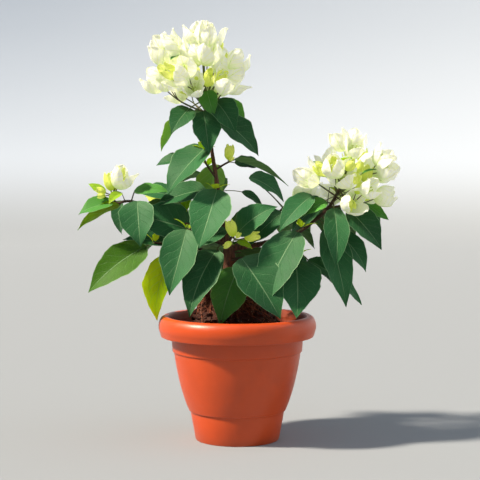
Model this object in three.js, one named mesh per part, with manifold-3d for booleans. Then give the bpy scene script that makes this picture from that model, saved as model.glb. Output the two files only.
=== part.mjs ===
// A young white bougainvillea in its flower pot. Millimetres, +Z up.
// The origin is the middle of the pot's flat underside. -Y is the side that the plant shows.

import * as THREE from 'three';
import { mergeVertices } from 'three/addons/utils/BufferGeometryUtils.js';
import Module from 'manifold-3d';

const wasm = await Module();
wasm.setup();

// The pot: an 8 inch plastic pot with a rolled rim, a collar under it and a shallow groove round its foot
const RIM_RADIUS = 100;
const RIM_TOP = 158;
const RIM_FOOT = 132;
const RIM_LIP = 97;
const MOUTH_RADIUS = 88;
const MOUTH_DROP = 1.5;
const RIM_ROLL_RADIUS = 91.5;
const RIM_ROLL_START = -0.6;
const RIM_ROOF = 149;
const RIM_WALL = 2.6;
const RIM_DRAFT = 2;
const COLLAR_RADIUS = 83.8;
const COLLAR_FOOT = 113;
const COLLAR_BEVEL = 1.6;
const COLLAR_FLARE = 0.8;
const BODY_TOP_RADIUS = 80.5;
const BODY_TOP = 112;
const BELLY_RADIUS = 74.5;
const BELLY_HEIGHT = 68;
const GROOVE_RADIUS = 60.4;
const GROOVE_HEIGHT = 36;
const GROOVE_DEPTH = 1;
const GROOVE_HALF = 2;
const GROOVE_STEP = 1.4;
const FOOT_RADIUS = 53.3;
const FOOT_EDGE = 1.2;
const FLOOR = 4;
const INSIDE_FOOT_RADIUS = 50.5;
const INSIDE_COLLAR_RADIUS = 77.1;
const INSIDE_TOP_RADIUS = 78.6;
const INSIDE_TOP = 128;
const DRAIN_HOLES = 4;
const DRAIN_RADIUS = 4;
const DRAIN_CIRCLE = 34;
const POT_SIDES = 32;

// The soil, and the old root ball that stands out of it as a mound: it leans to the back left by
// MOUND_LEAN at its top, and is slimmer in front
const SOIL_SURFACE = 138;
const SOIL_EDGE = 136.5;
const SOIL_EDGE_RADIUS = 79.3;
const MOUND_FOOT_RADIUS = 60;
const MOUND_TOP = 189.7;
const MOUND_TOP_RADIUS = 24;
const MOUND_BEVEL = [2, 1.2];
const MOUND_SPREAD = 0.8;
const MOUND_SWELL = 0.9;
const MOUND_LEAN = [-12, 6];
const MOUND_FRONT = 0.8;
const MOUND_STEPS = 6;
const SOIL_SIDES = 16;

// The room that two pieces keep between them
const CLEARANCE = 0.3;

// The trunk runs up through the foliage as the leader, and leans to the left on its way
const GROUND = 190;
const TRUNK = [[-8, 5, 186], [-10, 1, 232], [-13, -1, 252], [-21, -3, 290], [-27, -5, 335], [-37, -3, 396]];
const TRUNK_FOOT_RADIUS = 10;
const TRUNK_FLARE = 5;
const TRUNK_FORK_RADIUS = 6.4;
const LEADER_RADIUS = 3.4;
const LEADER_TIP_RADIUS = 2.1;
const TRUNK_FORK_SHARE = 0.32;
const LEADER_SHARE = 0.5;

// The boughs, each a tapering limb: its name, its line from the fork out, and its radii
const BOUGHS = [
  { name: 'bough_left', line: [[-12, 0, 249], [-60, -5, 272], [-118, -7, 300]], root: 3.6, tip: 2 },
  { name: 'bough_right', line: [[-9, 0, 243], [35, -5, 250], [79, -8, 265]], root: 3.9, tip: 2.6 },
  { name: 'bough_back_left', line: [[-11, 2, 246], [-34, 30, 262], [-60, 52, 284]], root: 3.4, tip: 2 },
  { name: 'bough_back_right', line: [[-9, 2, 241], [16, 28, 256], [42, 46, 278]], root: 3.4, tip: 2 },
  { name: 'bough_back', line: [[-12, 2, 252], [-17, 28, 270], [-25, 50, 300]], root: 3.2, tip: 2 },
];

// A leaf: its stalk leaves the spray's stem at a share of its length. Stalk and blade are each
// [length, heading, rise] with the angles in degrees, heading 0 along +X and 90 along +Y. The blade
// turns about its midrib by turn, and broad is its width over its length where that is not LEAF_WIDTH.
// A bloom is placed in the same way, on a twig with three bracts of one size at its end.
const SPRAYS = [
  {
    name: 'foliage_head', faces: -90, root: 1.9, tip: 1.4,
    stem: [[-37, -3, 396], [-39, -2, 415], [-41, 0, 433]],
    leaves: [
      { at: 0.9, stalk: [24, -150, -25], blade: [50, -125, -40], turn: -10 },
      { at: 0.8, stalk: [24, 158, -35], blade: [62, 162, -48], turn: 60 },
      { at: 0.6, stalk: [9, -110, -20], blade: [58, -70, -68], turn: 0 },
      { at: 1.0, stalk: [14, -75, 35], blade: [38, -60, -60], turn: 20 },
      { at: 0.9, stalk: [16, -40, 0], blade: [54, -40, -50], turn: 15 },
      { at: 0.7, stalk: [28, 30, 15], blade: [38, 15, -45], turn: 20 },
      { at: 0.5, stalk: [18, 20, -25], blade: [70, 5, -43], turn: 5 },
    ],
    extra: { count: 4, from: 0.3, to: 1, heading: 90, spread: 150, length: [42, 60] },
    dome: { centre: [-53, 0, 475], radii: [69, 56, 65], count: 17, size: [42, 48], lowest: -0.6, turn: 240 },
    blooms: [{ at: 1.0, twig: [8, -80, 25], size: 42 }],
  },
  {
    name: 'foliage_upper_left', faces: -110, root: 1.4, tip: 1.1,
    stem: [[-26, -6, 331], [-40, -9, 352], [-41, -12, 366]],
    leaves: [
      { at: 1.0, stalk: [6, 30, 60], blade: [80, -155, -47], turn: 0, broad: 0.64 },
      { at: 0.7, stalk: [34, 150, -5], blade: [36, 160, -12], turn: 0 },
    ],
  },
  {
    name: 'foliage_upper_right', faces: -80, root: 1.4, tip: 1.1,
    stem: [[-25, -7, 344], [-15, -9, 350], [-7, -11, 354]],
    leaves: [
      { at: 1.0, stalk: [4, -8, 20], blade: [76, -10, -26], turn: -55, broad: 0.45 },
      { at: 0.2, stalk: [26, 110, 5], blade: [66, 105, -76], turn: 160 },
      { at: 0.6, stalk: [20, 60, 0], blade: [40, 15, -6], turn: 0 },
    ],
    blooms: [{ at: 0.7, twig: [3, 60, 75], size: 20 }],
  },
  {
    name: 'foliage_middle', faces: -95, root: 1.5, tip: 1.2,
    stem: [[-24, -9, 312], [-27, -17, 318], [-27, -23, 318]],
    leaves: [
      { at: 1.0, stalk: [4, -60, 0], blade: [82, -126, -62], turn: 0, broad: 0.66 },
      { at: 0.3, stalk: [15, 150, 5], blade: [68, -178, -18], turn: 0 },
      { at: 0.1, stalk: [36, 165, -5], blade: [32, -170, -70], turn: 0, broad: 0.4 },
      { at: 0.2, stalk: [34, 25, 0], blade: [36, 10, -38], turn: 0, broad: 0.4 },
    ],
  },
  {
    name: 'foliage_front_left', faces: -95, root: 1.8, tip: 1.3,
    stem: [[-16, -8, 247], [-38, -20, 258], [-60, -28, 268]],
    leaves: [
      { at: 1.0, stalk: [5, -130, 10], blade: [86, -130, -68], turn: 0, broad: 0.56 },
      { at: 0.3, stalk: [32, 160, 22], blade: [80, -174, 15], turn: -30 },
      { at: 0.1, stalk: [16, -110, -25], blade: [94, -133, -58], turn: 0, broad: 0.5 },
    ],
  },
  {
    name: 'foliage_front_right', faces: -90, root: 1.9, tip: 1.3,
    stem: [[-6, -5, 229], [24, -22, 236], [54, -28, 248], [80, -30, 270]],
    leaves: [
      { at: 1.0, stalk: [8, -140, -30], blade: [106, -147, -60], turn: 0, broad: 0.5 },
      { at: 0.25, stalk: [26, -115, 0], blade: [92, -33, -52], turn: 0, broad: 0.66 },
    ],
  },
  {
    name: 'foliage_centre', faces: -90, root: 1.5, tip: 1.1,
    stem: [[-10, -9, 253], [-6, -22, 259], [-3, -33, 256]],
    leaves: [
      { at: 0.5, stalk: [7, 0, 35], blade: [62, -14, 34], turn: 15 },
      { at: 0.2, stalk: [14, 150, 60], blade: [45, -160, -30], turn: 0 },
      { at: 1.0, stalk: [3, -10, -40], blade: [22, -10, -25], turn: 0, broad: 0.5 },
    ],
    blooms: [
      { at: 1.0, twig: [4, 150, 70], size: 22 },
      { at: 1.0, twig: [12, 0, 10], size: 20 },
    ],
  },
  {
    name: 'foliage_left', faces: -100, root: 1.8, tip: 1.2,
    stem: [[-118, -7, 300], [-138, -6, 303], [-152, -6, 301], [-158, -6, 311]],
    leaves: [
      { at: 0.05, stalk: [12, -110, 15], blade: [62, -78, -64], turn: 0, broad: 0.72 },
      { at: 0.25, stalk: [13, 0, 75], blade: [47, -8, 0], turn: 0, broad: 0.5 },
      { at: 0.4, stalk: [12, -142, 65], blade: [24, -142, -35], turn: 0 },
      { at: 0.75, stalk: [3, -168, -20], blade: [46, -166, -18], turn: 0 },
      { at: 0.45, stalk: [6, 180, -40], blade: [62, -178, -30], turn: 70, broad: 0.45 },
      { at: 0.95, stalk: [10, 165, 20], blade: [26, 165, 28], turn: 0, broad: 0.5 },
    ],
    extra: { count: 3, from: 0.1, to: 0.8, heading: 90, spread: 120, length: [44, 58] },
    blooms: [
      { at: 1.0, twig: [5, 150, 80], size: 24 },
      { at: 0.9, twig: [12, -10, 55], size: 32 },
      { at: 0.9, twig: [12, 40, 75], size: 28 },
    ],
  },
  {
    name: 'foliage_right', faces: -85, root: 2.4, tip: 1.6,
    stem: [[79, -8, 265], [101, -10, 282], [116, -12, 297], [125, -12, 312], [130, -12, 322]],
    leaves: [
      { at: 0.1, stalk: [36, 175, 28], blade: [60, -176, -44], turn: 0 },
      { at: 0.4, stalk: [28, -150, 45], blade: [64, -154, -43], turn: 0, broad: 0.5 },
      { at: 0.7, stalk: [16, -150, -20], blade: [40, -154, -28], turn: 0 },
      { at: 0.6, stalk: [17, -90, -30], blade: [76, -88, -70], turn: 0, broad: 0.42 },
      { at: 0.25, stalk: [16, -15, -45], blade: [104, -30, -74], turn: 0, broad: 0.4 },
      { at: 0.3, stalk: [30, 5, -45], blade: [62, -14, -52], turn: 0, broad: 0.5 },
      { at: 0.7, stalk: [23, -15, -45], blade: [66, -24, -48], turn: 0 },
      { at: 0.75, stalk: [34, 25, -25], blade: [54, 20, -60], turn: 0 },
      { at: 0.85, stalk: [36, 5, -25], blade: [38, 0, -35], turn: 30, broad: 0.4 },
    ],
    extra: { count: 5, from: 0.2, to: 0.9, heading: 80, spread: 130, length: [58, 78] },
    dome: { centre: [138, -12, 336], radii: [72, 52, 62], count: 14, size: [40, 46], lowest: -0.7, turn: 60 },
    blooms: [{ at: 1.0, twig: [6, -90, 35], size: 40 }],
  },
  {
    name: 'foliage_low_left', faces: -100, root: 1.9, tip: 1.3,
    stem: [[-15, 3, 232], [-60, 2, 245], [-104, -2, 250]],
    leaves: [
      { at: 1.0, stalk: [12, -168, -20], blade: [94, -168, -38], turn: -20, broad: 0.5 },
      { at: 0.55, stalk: [24, 150, -25], blade: [90, 155, -74], turn: 100 },
      { at: 0.5, stalk: [26, 165, 8], blade: [62, 178, 5], turn: 0, broad: 0.5 },
    ],
    extra: { count: 4, from: 0.3, to: 1, heading: 130, spread: 90, length: [62, 82] },
  },
  {
    name: 'foliage_low_right', faces: -80, root: 1.9, tip: 1.3,
    stem: [[-2, -2, 224], [40, -7, 230], [80, -10, 237]],
    leaves: [
      { at: 0.12, stalk: [12, -127, -30], blade: [80, -127, -61], turn: 0 },
      { at: 0.95, stalk: [12, -110, -30], blade: [84, -90, -54], turn: 0, broad: 0.72 },
      { at: 1.0, stalk: [16, 10, 20], blade: [52, 0, -35], turn: 20 },
    ],
    extra: { count: 4, from: 0.3, to: 1, heading: 45, spread: 90, length: [62, 82] },
  },
  {
    name: 'foliage_back_left', faces: 110, root: 1.8, tip: 1.2,
    stem: [[-60, 52, 284], [-80, 62, 296], [-94, 66, 306]],
    leaves: [{ at: 0.2, stalk: [24, -140, 50], blade: [52, 178, 6], turn: -75 }],
    extra: { count: 9, from: 0, to: 1, heading: 125, spread: 180, length: [58, 80] },
    blooms: [
      { at: 0.9, twig: [10, 130, 10], size: 34 },
      { at: 1.0, twig: [12, 160, -25], size: 32 },
    ],
  },
  {
    name: 'foliage_back_right', faces: 70, root: 1.8, tip: 1.2,
    stem: [[42, 46, 278], [60, 55, 292], [72, 60, 304]],
    leaves: [
      { at: 0.5, stalk: [61, -171, 42], blade: [56, 5, -34], turn: 75 },
      { at: 0.9, stalk: [12, -30, 10], blade: [44, 15, -10], turn: 75 },
    ],
    extra: { count: 9, from: 0, to: 1, heading: 65, spread: 180, length: [58, 80] },
    blooms: [
      { at: 1.0, twig: [12, 60, 0], size: 36 },
      { at: 1.0, twig: [14, 20, 10], size: 34 },
    ],
  },
  {
    name: 'foliage_back', faces: 90, root: 1.8, tip: 1.2,
    stem: [[-25, 50, 300], [-33, 58, 324], [-38, 58, 346]],
    leaves: [],
    extra: { count: 8, from: 0, to: 1, heading: 110, spread: 150, length: [50, 70] },
  },
  {
    name: 'foliage_back_low', faces: 90, root: 1.9, tip: 1.3,
    stem: [[-9, 9, 231], [-10, 36, 242], [-6, 62, 240]],
    leaves: [],
    extra: { count: 8, from: 0.1, to: 1, heading: 90, spread: 230, length: [66, 88] },
  },
];

// The leaves and the bracts
const LEAF_WIDTH = 0.62;
const LEAF_WIDEST = 0.35;
const LEAF_THICKNESS = 0.015;
const LEAF_ARCH = 0.07;
const LEAF_FOLD = 14;
const FACE_RISE = 0.8;
const FACE_OUT = 0.6;
const LEAF_POINT = 1.6;
const BLOOM_WIDTH = 0.94;
const BLOOM_WIDEST = 0.6;
const BLOOM_POINT = 0.6;
const BLOOM_LOBE = 0.2;
const BLOOM_TIP = 0.16;
const DOME_ROOT = 0.6;
const STALK_RADIUS = 1.1;
const STALK_SINK = 0.12;
const TWIG_RADIUS = 0.9;

// The rule for the leaves that do not show in front
const SEED = 41;
const GOLDEN_ANGLE = 137.5;
const EXTRA_FALL = [12, 62];
const EXTRA_STALK = [12, 22];
const EXTRA_TURN = 25;
const LEAF_SPACING = 30;
const LIMB_SPACING = 6;
const LOWEST_TIP = 166;

const POT_COLOUR = '#c4623c';
const SOIL_COLOUR = '#5b3021';
const BARK_COLOUR = '#4f3024';
const LEAF_COLOUR = '#2f6b45';

const radians = THREE.MathUtils.degToRad;
const UP = new THREE.Vector3(0, 0, 1);

/** A repeatable stream of numbers from 0 up to 1. */
function stream(seed) {
  let state = seed;
  return () => {
    state = (Math.imul(state, 1664525) + 1013904223) >>> 0;
    return state / 2 ** 32;
  };
}

/** A value between two, by a share. */
function between([low, high], share) {
  return low + (high - low) * share;
}

/** The unit vector of a heading and a rise in degrees. */
function direction(heading, rise) {
  const flat = Math.cos(radians(rise));
  return new THREE.Vector3(
    Math.cos(radians(heading)) * flat, Math.sin(radians(heading)) * flat, Math.sin(radians(rise)));
}

/** A smooth curve through points. */
function curveThrough(points) {
  return new THREE.CatmullRomCurve3(points.map((point) => new THREE.Vector3(...point)), false, 'catmullrom');
}

/** The solid of a closed geometry. */
function solidOf(geometry) {
  geometry.deleteAttribute('normal');
  geometry.deleteAttribute('uv');
  const merged = mergeVertices(geometry, 1e-4);
  const corners = [];
  for (let i = 0; i < merged.index.count; i += 3) {
    const [a, b, c] = [0, 1, 2].map((k) => merged.index.getX(i + k));
    if (a !== b && b !== c && c !== a) corners.push(a, b, c);
  }
  const vertProperties = Float32Array.from(merged.attributes.position.array);
  const triVerts = Uint32Array.from(corners);
  return new wasm.Manifold(new wasm.Mesh({ numProp: 3, vertProperties, triVerts }));
}

/** A named mesh of a solid. */
function meshOf(name, solid, colour, roughness) {
  const { vertProperties, triVerts } = solid.getMesh();
  const geometry = new THREE.BufferGeometry();
  geometry.setAttribute('position', new THREE.BufferAttribute(Float32Array.from(vertProperties), 3));
  geometry.setIndex(new THREE.BufferAttribute(Uint32Array.from(triVerts), 1));
  geometry.computeVertexNormals();
  const material = new THREE.MeshStandardMaterial({ color: colour, roughness, metalness: 0 });
  material.flatShading = true;
  const mesh = new THREE.Mesh(geometry, material);
  mesh.name = name;
  return mesh;
}

/** The union of pieces, without the loose scraps and with its sealed hollows filled. */
function fuse(pieces) {
  const parts = wasm.Manifold.union(pieces).decompose();
  return parts.reduce((largest, part) => (part.volume() > largest.volume() ? part : largest));
}

/** A tube of some sides along a curve, with its radius given at each share of its length. */
function tubeGeometry(curve, radiusAt, sides, steps) {
  const run = curve.getPoint(1).sub(curve.getPoint(0)).normalize();
  const reference = Math.abs(run.x) < 0.7 ? new THREE.Vector3(1, 0, 0) : new THREE.Vector3(0, 1, 0);
  const geometry = new THREE.CylinderGeometry(1, 1, 1, sides, steps);
  const { position } = geometry.attributes;
  for (let i = 0; i < position.count; i += 1) {
    const share = position.getY(i) + 0.5;
    const along = curve.getTangent(share);
    const side = new THREE.Vector3().crossVectors(along, reference).normalize();
    const out = new THREE.Vector3().crossVectors(side, along);
    const point = curve.getPoint(share);
    point.addScaledVector(side, position.getX(i) * radiusAt(share));
    point.addScaledVector(out, position.getZ(i) * radiusAt(share));
    position.setXYZ(i, point.x, point.y, point.z);
  }
  return geometry;
}

/** The trunk's radius at a share of its height: a root flare, the fork, and the thin leader above it. */
function trunkRadius(share) {
  if (share < TRUNK_FORK_SHARE) {
    const up = share / TRUNK_FORK_SHARE;
    return between([TRUNK_FOOT_RADIUS, TRUNK_FORK_RADIUS], up) + TRUNK_FLARE * (1 - up) ** 6;
  }
  if (share < LEADER_SHARE) {
    const up = (share - TRUNK_FORK_SHARE) / (LEADER_SHARE - TRUNK_FORK_SHARE);
    return between([TRUNK_FORK_RADIUS, LEADER_RADIUS], up);
  }
  return between([LEADER_RADIUS, LEADER_TIP_RADIUS], (share - LEADER_SHARE) / (1 - LEADER_SHARE));
}

/** The trunk, grown by a margin, above its flat cut at the ground. */
function trunkSolid(margin) {
  const whole = solidOf(tubeGeometry(curveThrough(TRUNK), (share) => trunkRadius(share) + margin, 9, 18));
  const below = new THREE.BoxGeometry(80, 80, 40).translate(0, 0, GROUND - margin - 20);
  return whole.subtract(solidOf(below));
}

/** A bough, grown by a margin. */
function boughSolid({ line, root, tip }, margin) {
  return solidOf(tubeGeometry(curveThrough(line), (share) => between([root, tip], share) + margin, 7, 8));
}

/** How wide a blade is at a share of its length, over its widest. A higher point is more drawn out. */
function outline(share, widest, point) {
  if (share < widest) {
    return Math.sqrt(Math.max(0, 1 - ((widest - share) / widest) ** 2)) ** 0.9;
  }
  const on = (share - widest) / (1 - widest);
  return Math.max(0, 1 - on) ** point * (1 + point * on);
}

/** A point on a blade's midrib. */
function midrib({ foot, along, face, length }, share) {
  const lift = LEAF_ARCH * length * 4 * share * (1 - share);
  return foot.clone().addScaledVector(along, share * length).addScaledVector(face, lift);
}

/** A blade with a ridge along its midrib: a sphere of a few faces drawn out over the blade's outline. */
function bladeSolid(blade, margin) {
  const geometry = new THREE.SphereGeometry(1, 4, 5);
  const { position } = geometry.attributes;
  const across = new THREE.Vector3().crossVectors(blade.face, blade.along).normalize();
  for (let i = 0; i < position.count; i += 1) {
    const share = (1 - position.getY(i)) / 2;
    const ring = Math.hypot(position.getX(i), position.getZ(i));
    const side = ring > 0.01 ? Math.round(position.getX(i) / ring) : 0;
    const upper = ring > 0.01 ? Math.round(position.getZ(i) / ring) : 0;
    const half = outline(share, LEAF_WIDEST, LEAF_POINT) * blade.width / 2 + margin;
    const fold = Math.abs(side) * half * Math.tan(radians(LEAF_FOLD));
    const thick = upper * (blade.length * LEAF_THICKNESS / 2 + margin);
    const point = midrib(blade, share);
    point.addScaledVector(blade.along, margin * (2 * share - 1));
    point.addScaledVector(across, side * half);
    point.addScaledVector(blade.face, fold + thick);
    position.setXYZ(i, point.x, point.y, point.z);
  }
  return solidOf(geometry);
}

/** A bloom's three papery bracts as one bell with three lobes: a sphere drawn out along the bloom's axis. */
function bellSolid({ foot, axis, side, size }, margin) {
  const geometry = new THREE.SphereGeometry(1, 6, 4);
  const { position } = geometry.attributes;
  const across = new THREE.Vector3().crossVectors(axis, side);
  for (let i = 0; i < position.count; i += 1) {
    const share = (1 - position.getY(i)) / 2;
    const ring = Math.hypot(position.getX(i), position.getZ(i));
    const lobe = ring > 0.01 ? Math.cos(3 * Math.atan2(position.getZ(i), position.getX(i))) : -1;
    const wide = outline(share, BLOOM_WIDEST, BLOOM_POINT) * BLOOM_WIDTH / 2;
    const half = wide * (1 + BLOOM_LOBE * lobe) * size;
    const turn = ring > 0.01 ? 1 / ring : 0;
    const point = foot.clone().addScaledVector(axis, share * size * (1 + BLOOM_TIP * share * (lobe - 1)));
    point.addScaledVector(side, position.getX(i) * turn * (half + margin));
    point.addScaledVector(across, position.getZ(i) * turn * (half + margin));
    point.addScaledVector(axis, margin * (2 * share - 1));
    position.setXYZ(i, point.x, point.y, point.z);
  }
  return solidOf(geometry);
}

/** The upper face of a blade that turns up and towards a heading, and then by an angle about its midrib. */
function faceOf(along, heading, turn) {
  const aim = direction(heading, 0).multiplyScalar(FACE_OUT).addScaledVector(UP, FACE_RISE);
  return aim.addScaledVector(along, -aim.dot(along)).normalize().applyAxisAngle(along, radians(turn));
}

/** A leaf's stalk and blade from a row of its spray. */
function growLeaf(spray, row) {
  const curve = curveThrough(spray.stem);
  const start = curve.getPoint(row.at);
  const foot = start.clone().addScaledVector(direction(row.stalk[1], row.stalk[2]), row.stalk[0]);
  const [length, heading, rise] = row.blade;
  const along = direction(heading, rise);
  const width = length * (row.broad ?? LEAF_WIDTH);
  return { start, blade: { foot, along, length, width, face: faceOf(along, spray.faces, row.turn) } };
}

/** Whether a leaf keeps clear of the limbs and of the leaves placed so far, and ends above the pot. */
function fits(leaf, placed, limbPoints) {
  const { foot, along, length } = leaf.blade;
  if (foot.z + along.z * length < LOWEST_TIP) return false;
  const middle = midrib(leaf.blade, 0.5);
  if (placed.some(({ blade }) => midrib(blade, 0.5).distanceTo(middle) < LEAF_SPACING)) return false;
  return [0.3, 0.5, 0.7, 0.9].every((share) => {
    const point = foot.clone().addScaledVector(along, length * share);
    return limbPoints.every((limb) => limb.distanceTo(point) > LIMB_SPACING);
  });
}

/** The leaves that a spray's rule adds: spaced along its stem and turned by the golden angle. */
function extraLeaves(spray, number, placed, limbPoints) {
  const { count, from, to, heading, spread, length } = spray.extra;
  const random = stream(SEED + number);
  const grown = [];
  for (let k = 0; k < count; k += 1) {
    const turned = (((k + 0.5) * GOLDEN_ANGLE) % 360) / 360 - 0.5;
    const way = heading + spread * turned;
    const row = {
      at: between([from, to], (k + 0.5) / count),
      stalk: [between(EXTRA_STALK, random()), way, between([0, 35], random())],
      blade: [between(length, random()), way, -between(EXTRA_FALL, random())],
      turn: EXTRA_TURN * (2 * random() - 1),
    };
    const leaf = growLeaf(spray, row);
    if (fits(leaf, placed.concat(grown), limbPoints)) grown.push(leaf);
  }
  return grown;
}

/** A bloom on its axis, with its first bract spun round it by an angle. */
function growBloom(start, foot, axis, size, spin) {
  const reference = Math.abs(axis.z) < 0.9 ? UP : new THREE.Vector3(1, 0, 0);
  const side = new THREE.Vector3().crossVectors(axis, reference).normalize();
  return { start, foot, axis, side: side.applyAxisAngle(axis, radians(spin)), size };
}

/** The blooms that a spray names one by one. */
function namedBlooms(spray) {
  const curve = curveThrough(spray.stem);
  return spray.blooms.map(({ at, twig, size }, k) => {
    const start = curve.getPoint(at);
    const axis = direction(twig[1], twig[2]);
    return growBloom(start, start.clone().addScaledVector(axis, twig[0]), axis, size, k * GOLDEN_ANGLE);
  });
}

/** The blooms of a dome: spread over an egg by the golden angle, each on a twig from the stem. */
function domeBlooms(spray, number) {
  const { centre, radii, count, size, lowest, turn } = spray.dome;
  const random = stream(SEED + number);
  const curve = curveThrough(spray.stem);
  return Array.from({ length: count }, (_, k) => {
    const share = (k + 0.5) / count;
    const start = curve.getPoint(1 - DOME_ROOT * share);
    const height = 1 - (1 - lowest) * share;
    const flat = Math.sqrt(1 - height * height);
    const angle = radians(k * GOLDEN_ANGLE + turn);
    const reach = between([0.9, 1], random());
    const end = new THREE.Vector3(
      centre[0] + radii[0] * flat * Math.cos(angle) * reach,
      centre[1] + radii[1] * flat * Math.sin(angle) * reach,
      centre[2] + radii[2] * height * reach);
    const bloom = between(size, random());
    const axis = end.clone().sub(start).normalize();
    return growBloom(start, end.addScaledVector(axis, -bloom), axis, bloom, 120 * random());
  });
}

/** A leaf's stalk, grown by a margin, from its stem to under its blade. */
function stalkSolid({ start, blade }, margin) {
  const line = new THREE.LineCurve3(start, midrib(blade, STALK_SINK));
  return solidOf(tubeGeometry(line, () => STALK_RADIUS + margin, 3, 1));
}

/** A bloom's twig, grown by a margin, from its stem into its bell. */
function twigSolid({ start, foot, axis, size }, margin) {
  const end = foot.clone().addScaledVector(axis, size * STALK_SINK);
  return solidOf(tubeGeometry(new THREE.LineCurve3(start, end), () => TWIG_RADIUS + margin, 3, 1));
}

/** The wood of a spray, grown by a margin: its stem, stalks and twigs. */
function woodOf({ stem, root, tip, grown, bloomed }, margin) {
  return wasm.Manifold.union([
    solidOf(tubeGeometry(curveThrough(stem), (share) => between([root, tip], share) + margin, 5, 5)),
    ...grown.map((leaf) => stalkSolid(leaf, margin)),
    ...bloomed.map((bloom) => twigSolid(bloom, margin)),
  ]);
}

/** The blades and bells of a spray, grown by a margin. */
function greenOf({ grown, bloomed }, margin) {
  return wasm.Manifold.union([
    ...grown.map(({ blade }) => bladeSolid(blade, margin)),
    ...bloomed.map((bloom) => bellSolid(bloom, margin)),
  ]);
}

/** The pot's wall outside, from the foot up to the rim's mouth. */
function potOutside() {
  const belly = new THREE.QuadraticBezierCurve(
    new THREE.Vector2(GROOVE_RADIUS + GROOVE_STEP, GROOVE_HEIGHT + GROOVE_HALF),
    new THREE.Vector2(BELLY_RADIUS, BELLY_HEIGHT),
    new THREE.Vector2(BODY_TOP_RADIUS, BODY_TOP));
  const half = (RIM_TOP - RIM_FOOT) / 2;
  const roll = new THREE.EllipseCurve(
    RIM_ROLL_RADIUS, RIM_FOOT + half, RIM_RADIUS - RIM_ROLL_RADIUS, half, RIM_ROLL_START, Math.PI / 2);
  return [
    new THREE.Vector2(FOOT_RADIUS - FOOT_EDGE, 0),
    new THREE.Vector2(FOOT_RADIUS, FOOT_EDGE),
    new THREE.Vector2(GROOVE_RADIUS, GROOVE_HEIGHT - GROOVE_HALF),
    new THREE.Vector2(GROOVE_RADIUS - GROOVE_DEPTH, GROOVE_HEIGHT),
    ...belly.getPoints(5),
    new THREE.Vector2(COLLAR_RADIUS - COLLAR_BEVEL, COLLAR_FOOT),
    new THREE.Vector2(COLLAR_RADIUS, RIM_FOOT),
    new THREE.Vector2(COLLAR_RADIUS + COLLAR_FLARE, RIM_ROOF),
    new THREE.Vector2(RIM_LIP - RIM_WALL - RIM_DRAFT, RIM_ROOF),
    new THREE.Vector2(RIM_LIP - RIM_WALL, RIM_FOOT),
    new THREE.Vector2(RIM_LIP, RIM_FOOT),
    ...roll.getPoints(5),
    new THREE.Vector2(MOUTH_RADIUS, RIM_TOP - MOUTH_DROP),
  ];
}

/** The pot, hollow and with drain holes in its floor. */
function potSolid() {
  const profile = [
    new THREE.Vector2(0, 0),
    ...potOutside(),
    new THREE.Vector2(INSIDE_TOP_RADIUS, INSIDE_TOP),
    new THREE.Vector2(INSIDE_COLLAR_RADIUS, COLLAR_FOOT),
    new THREE.Vector2(INSIDE_FOOT_RADIUS, FLOOR),
    new THREE.Vector2(0, FLOOR),
  ];
  const shell = solidOf(new THREE.LatheGeometry(profile, POT_SIDES).rotateX(Math.PI / 2));
  const holes = Array.from({ length: DRAIN_HOLES }, (_, k) => {
    const angle = (k + 0.5) * 2 * Math.PI / DRAIN_HOLES;
    const hole = new THREE.CylinderGeometry(DRAIN_RADIUS, DRAIN_RADIUS, 4 * FLOOR, 10).rotateX(Math.PI / 2);
    return solidOf(hole.translate(DRAIN_CIRCLE * Math.cos(angle), DRAIN_CIRCLE * Math.sin(angle), 0));
  });
  return shell.subtract(wasm.Manifold.union(holes));
}

/** The soil in the pot, with the root ball's mound in its middle. */
function soilSolid() {
  const [inset, drop] = MOUND_BEVEL;
  const mound = Array.from({ length: MOUND_STEPS + 1 }, (_, k) => {
    const up = k / MOUND_STEPS;
    const height = between([SOIL_SURFACE, MOUND_TOP - drop], Math.sin(up * Math.PI / 2) ** MOUND_SWELL);
    return new THREE.Vector2(between([MOUND_FOOT_RADIUS, MOUND_TOP_RADIUS], up ** MOUND_SPREAD), height);
  });
  const profile = [
    new THREE.Vector2(0, FLOOR + CLEARANCE),
    new THREE.Vector2(INSIDE_FOOT_RADIUS - CLEARANCE, FLOOR + CLEARANCE),
    new THREE.Vector2(INSIDE_COLLAR_RADIUS - CLEARANCE, COLLAR_FOOT),
    new THREE.Vector2(INSIDE_TOP_RADIUS - CLEARANCE, INSIDE_TOP),
    new THREE.Vector2(SOIL_EDGE_RADIUS, SOIL_EDGE),
    ...mound,
    new THREE.Vector2(MOUND_TOP_RADIUS - inset, MOUND_TOP),
    new THREE.Vector2(0, MOUND_TOP),
  ];
  const soil = new THREE.LatheGeometry(profile, SOIL_SIDES).rotateX(Math.PI / 2);
  const { position } = soil.attributes;
  for (let k = 0; k < position.count; k += 1) {
    const rise = position.getZ(k) - SOIL_SURFACE;
    const lean = Math.max(0, rise) / (MOUND_TOP - SOIL_SURFACE);
    const y = position.getY(k);
    const slim = y < 0 && rise > SOIL_EDGE - SOIL_SURFACE ? MOUND_FRONT : 1;
    position.setX(k, position.getX(k) + MOUND_LEAN[0] * lean);
    position.setY(k, y * slim + MOUND_LEAN[1] * lean);
  }
  return solidOf(soil);
}

/** Points along the middle of every limb. */
function pointsOnLimbs() {
  return [TRUNK, ...BOUGHS.map(({ line }) => line)].flatMap((line) => curveThrough(line).getPoints(24));
}

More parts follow.
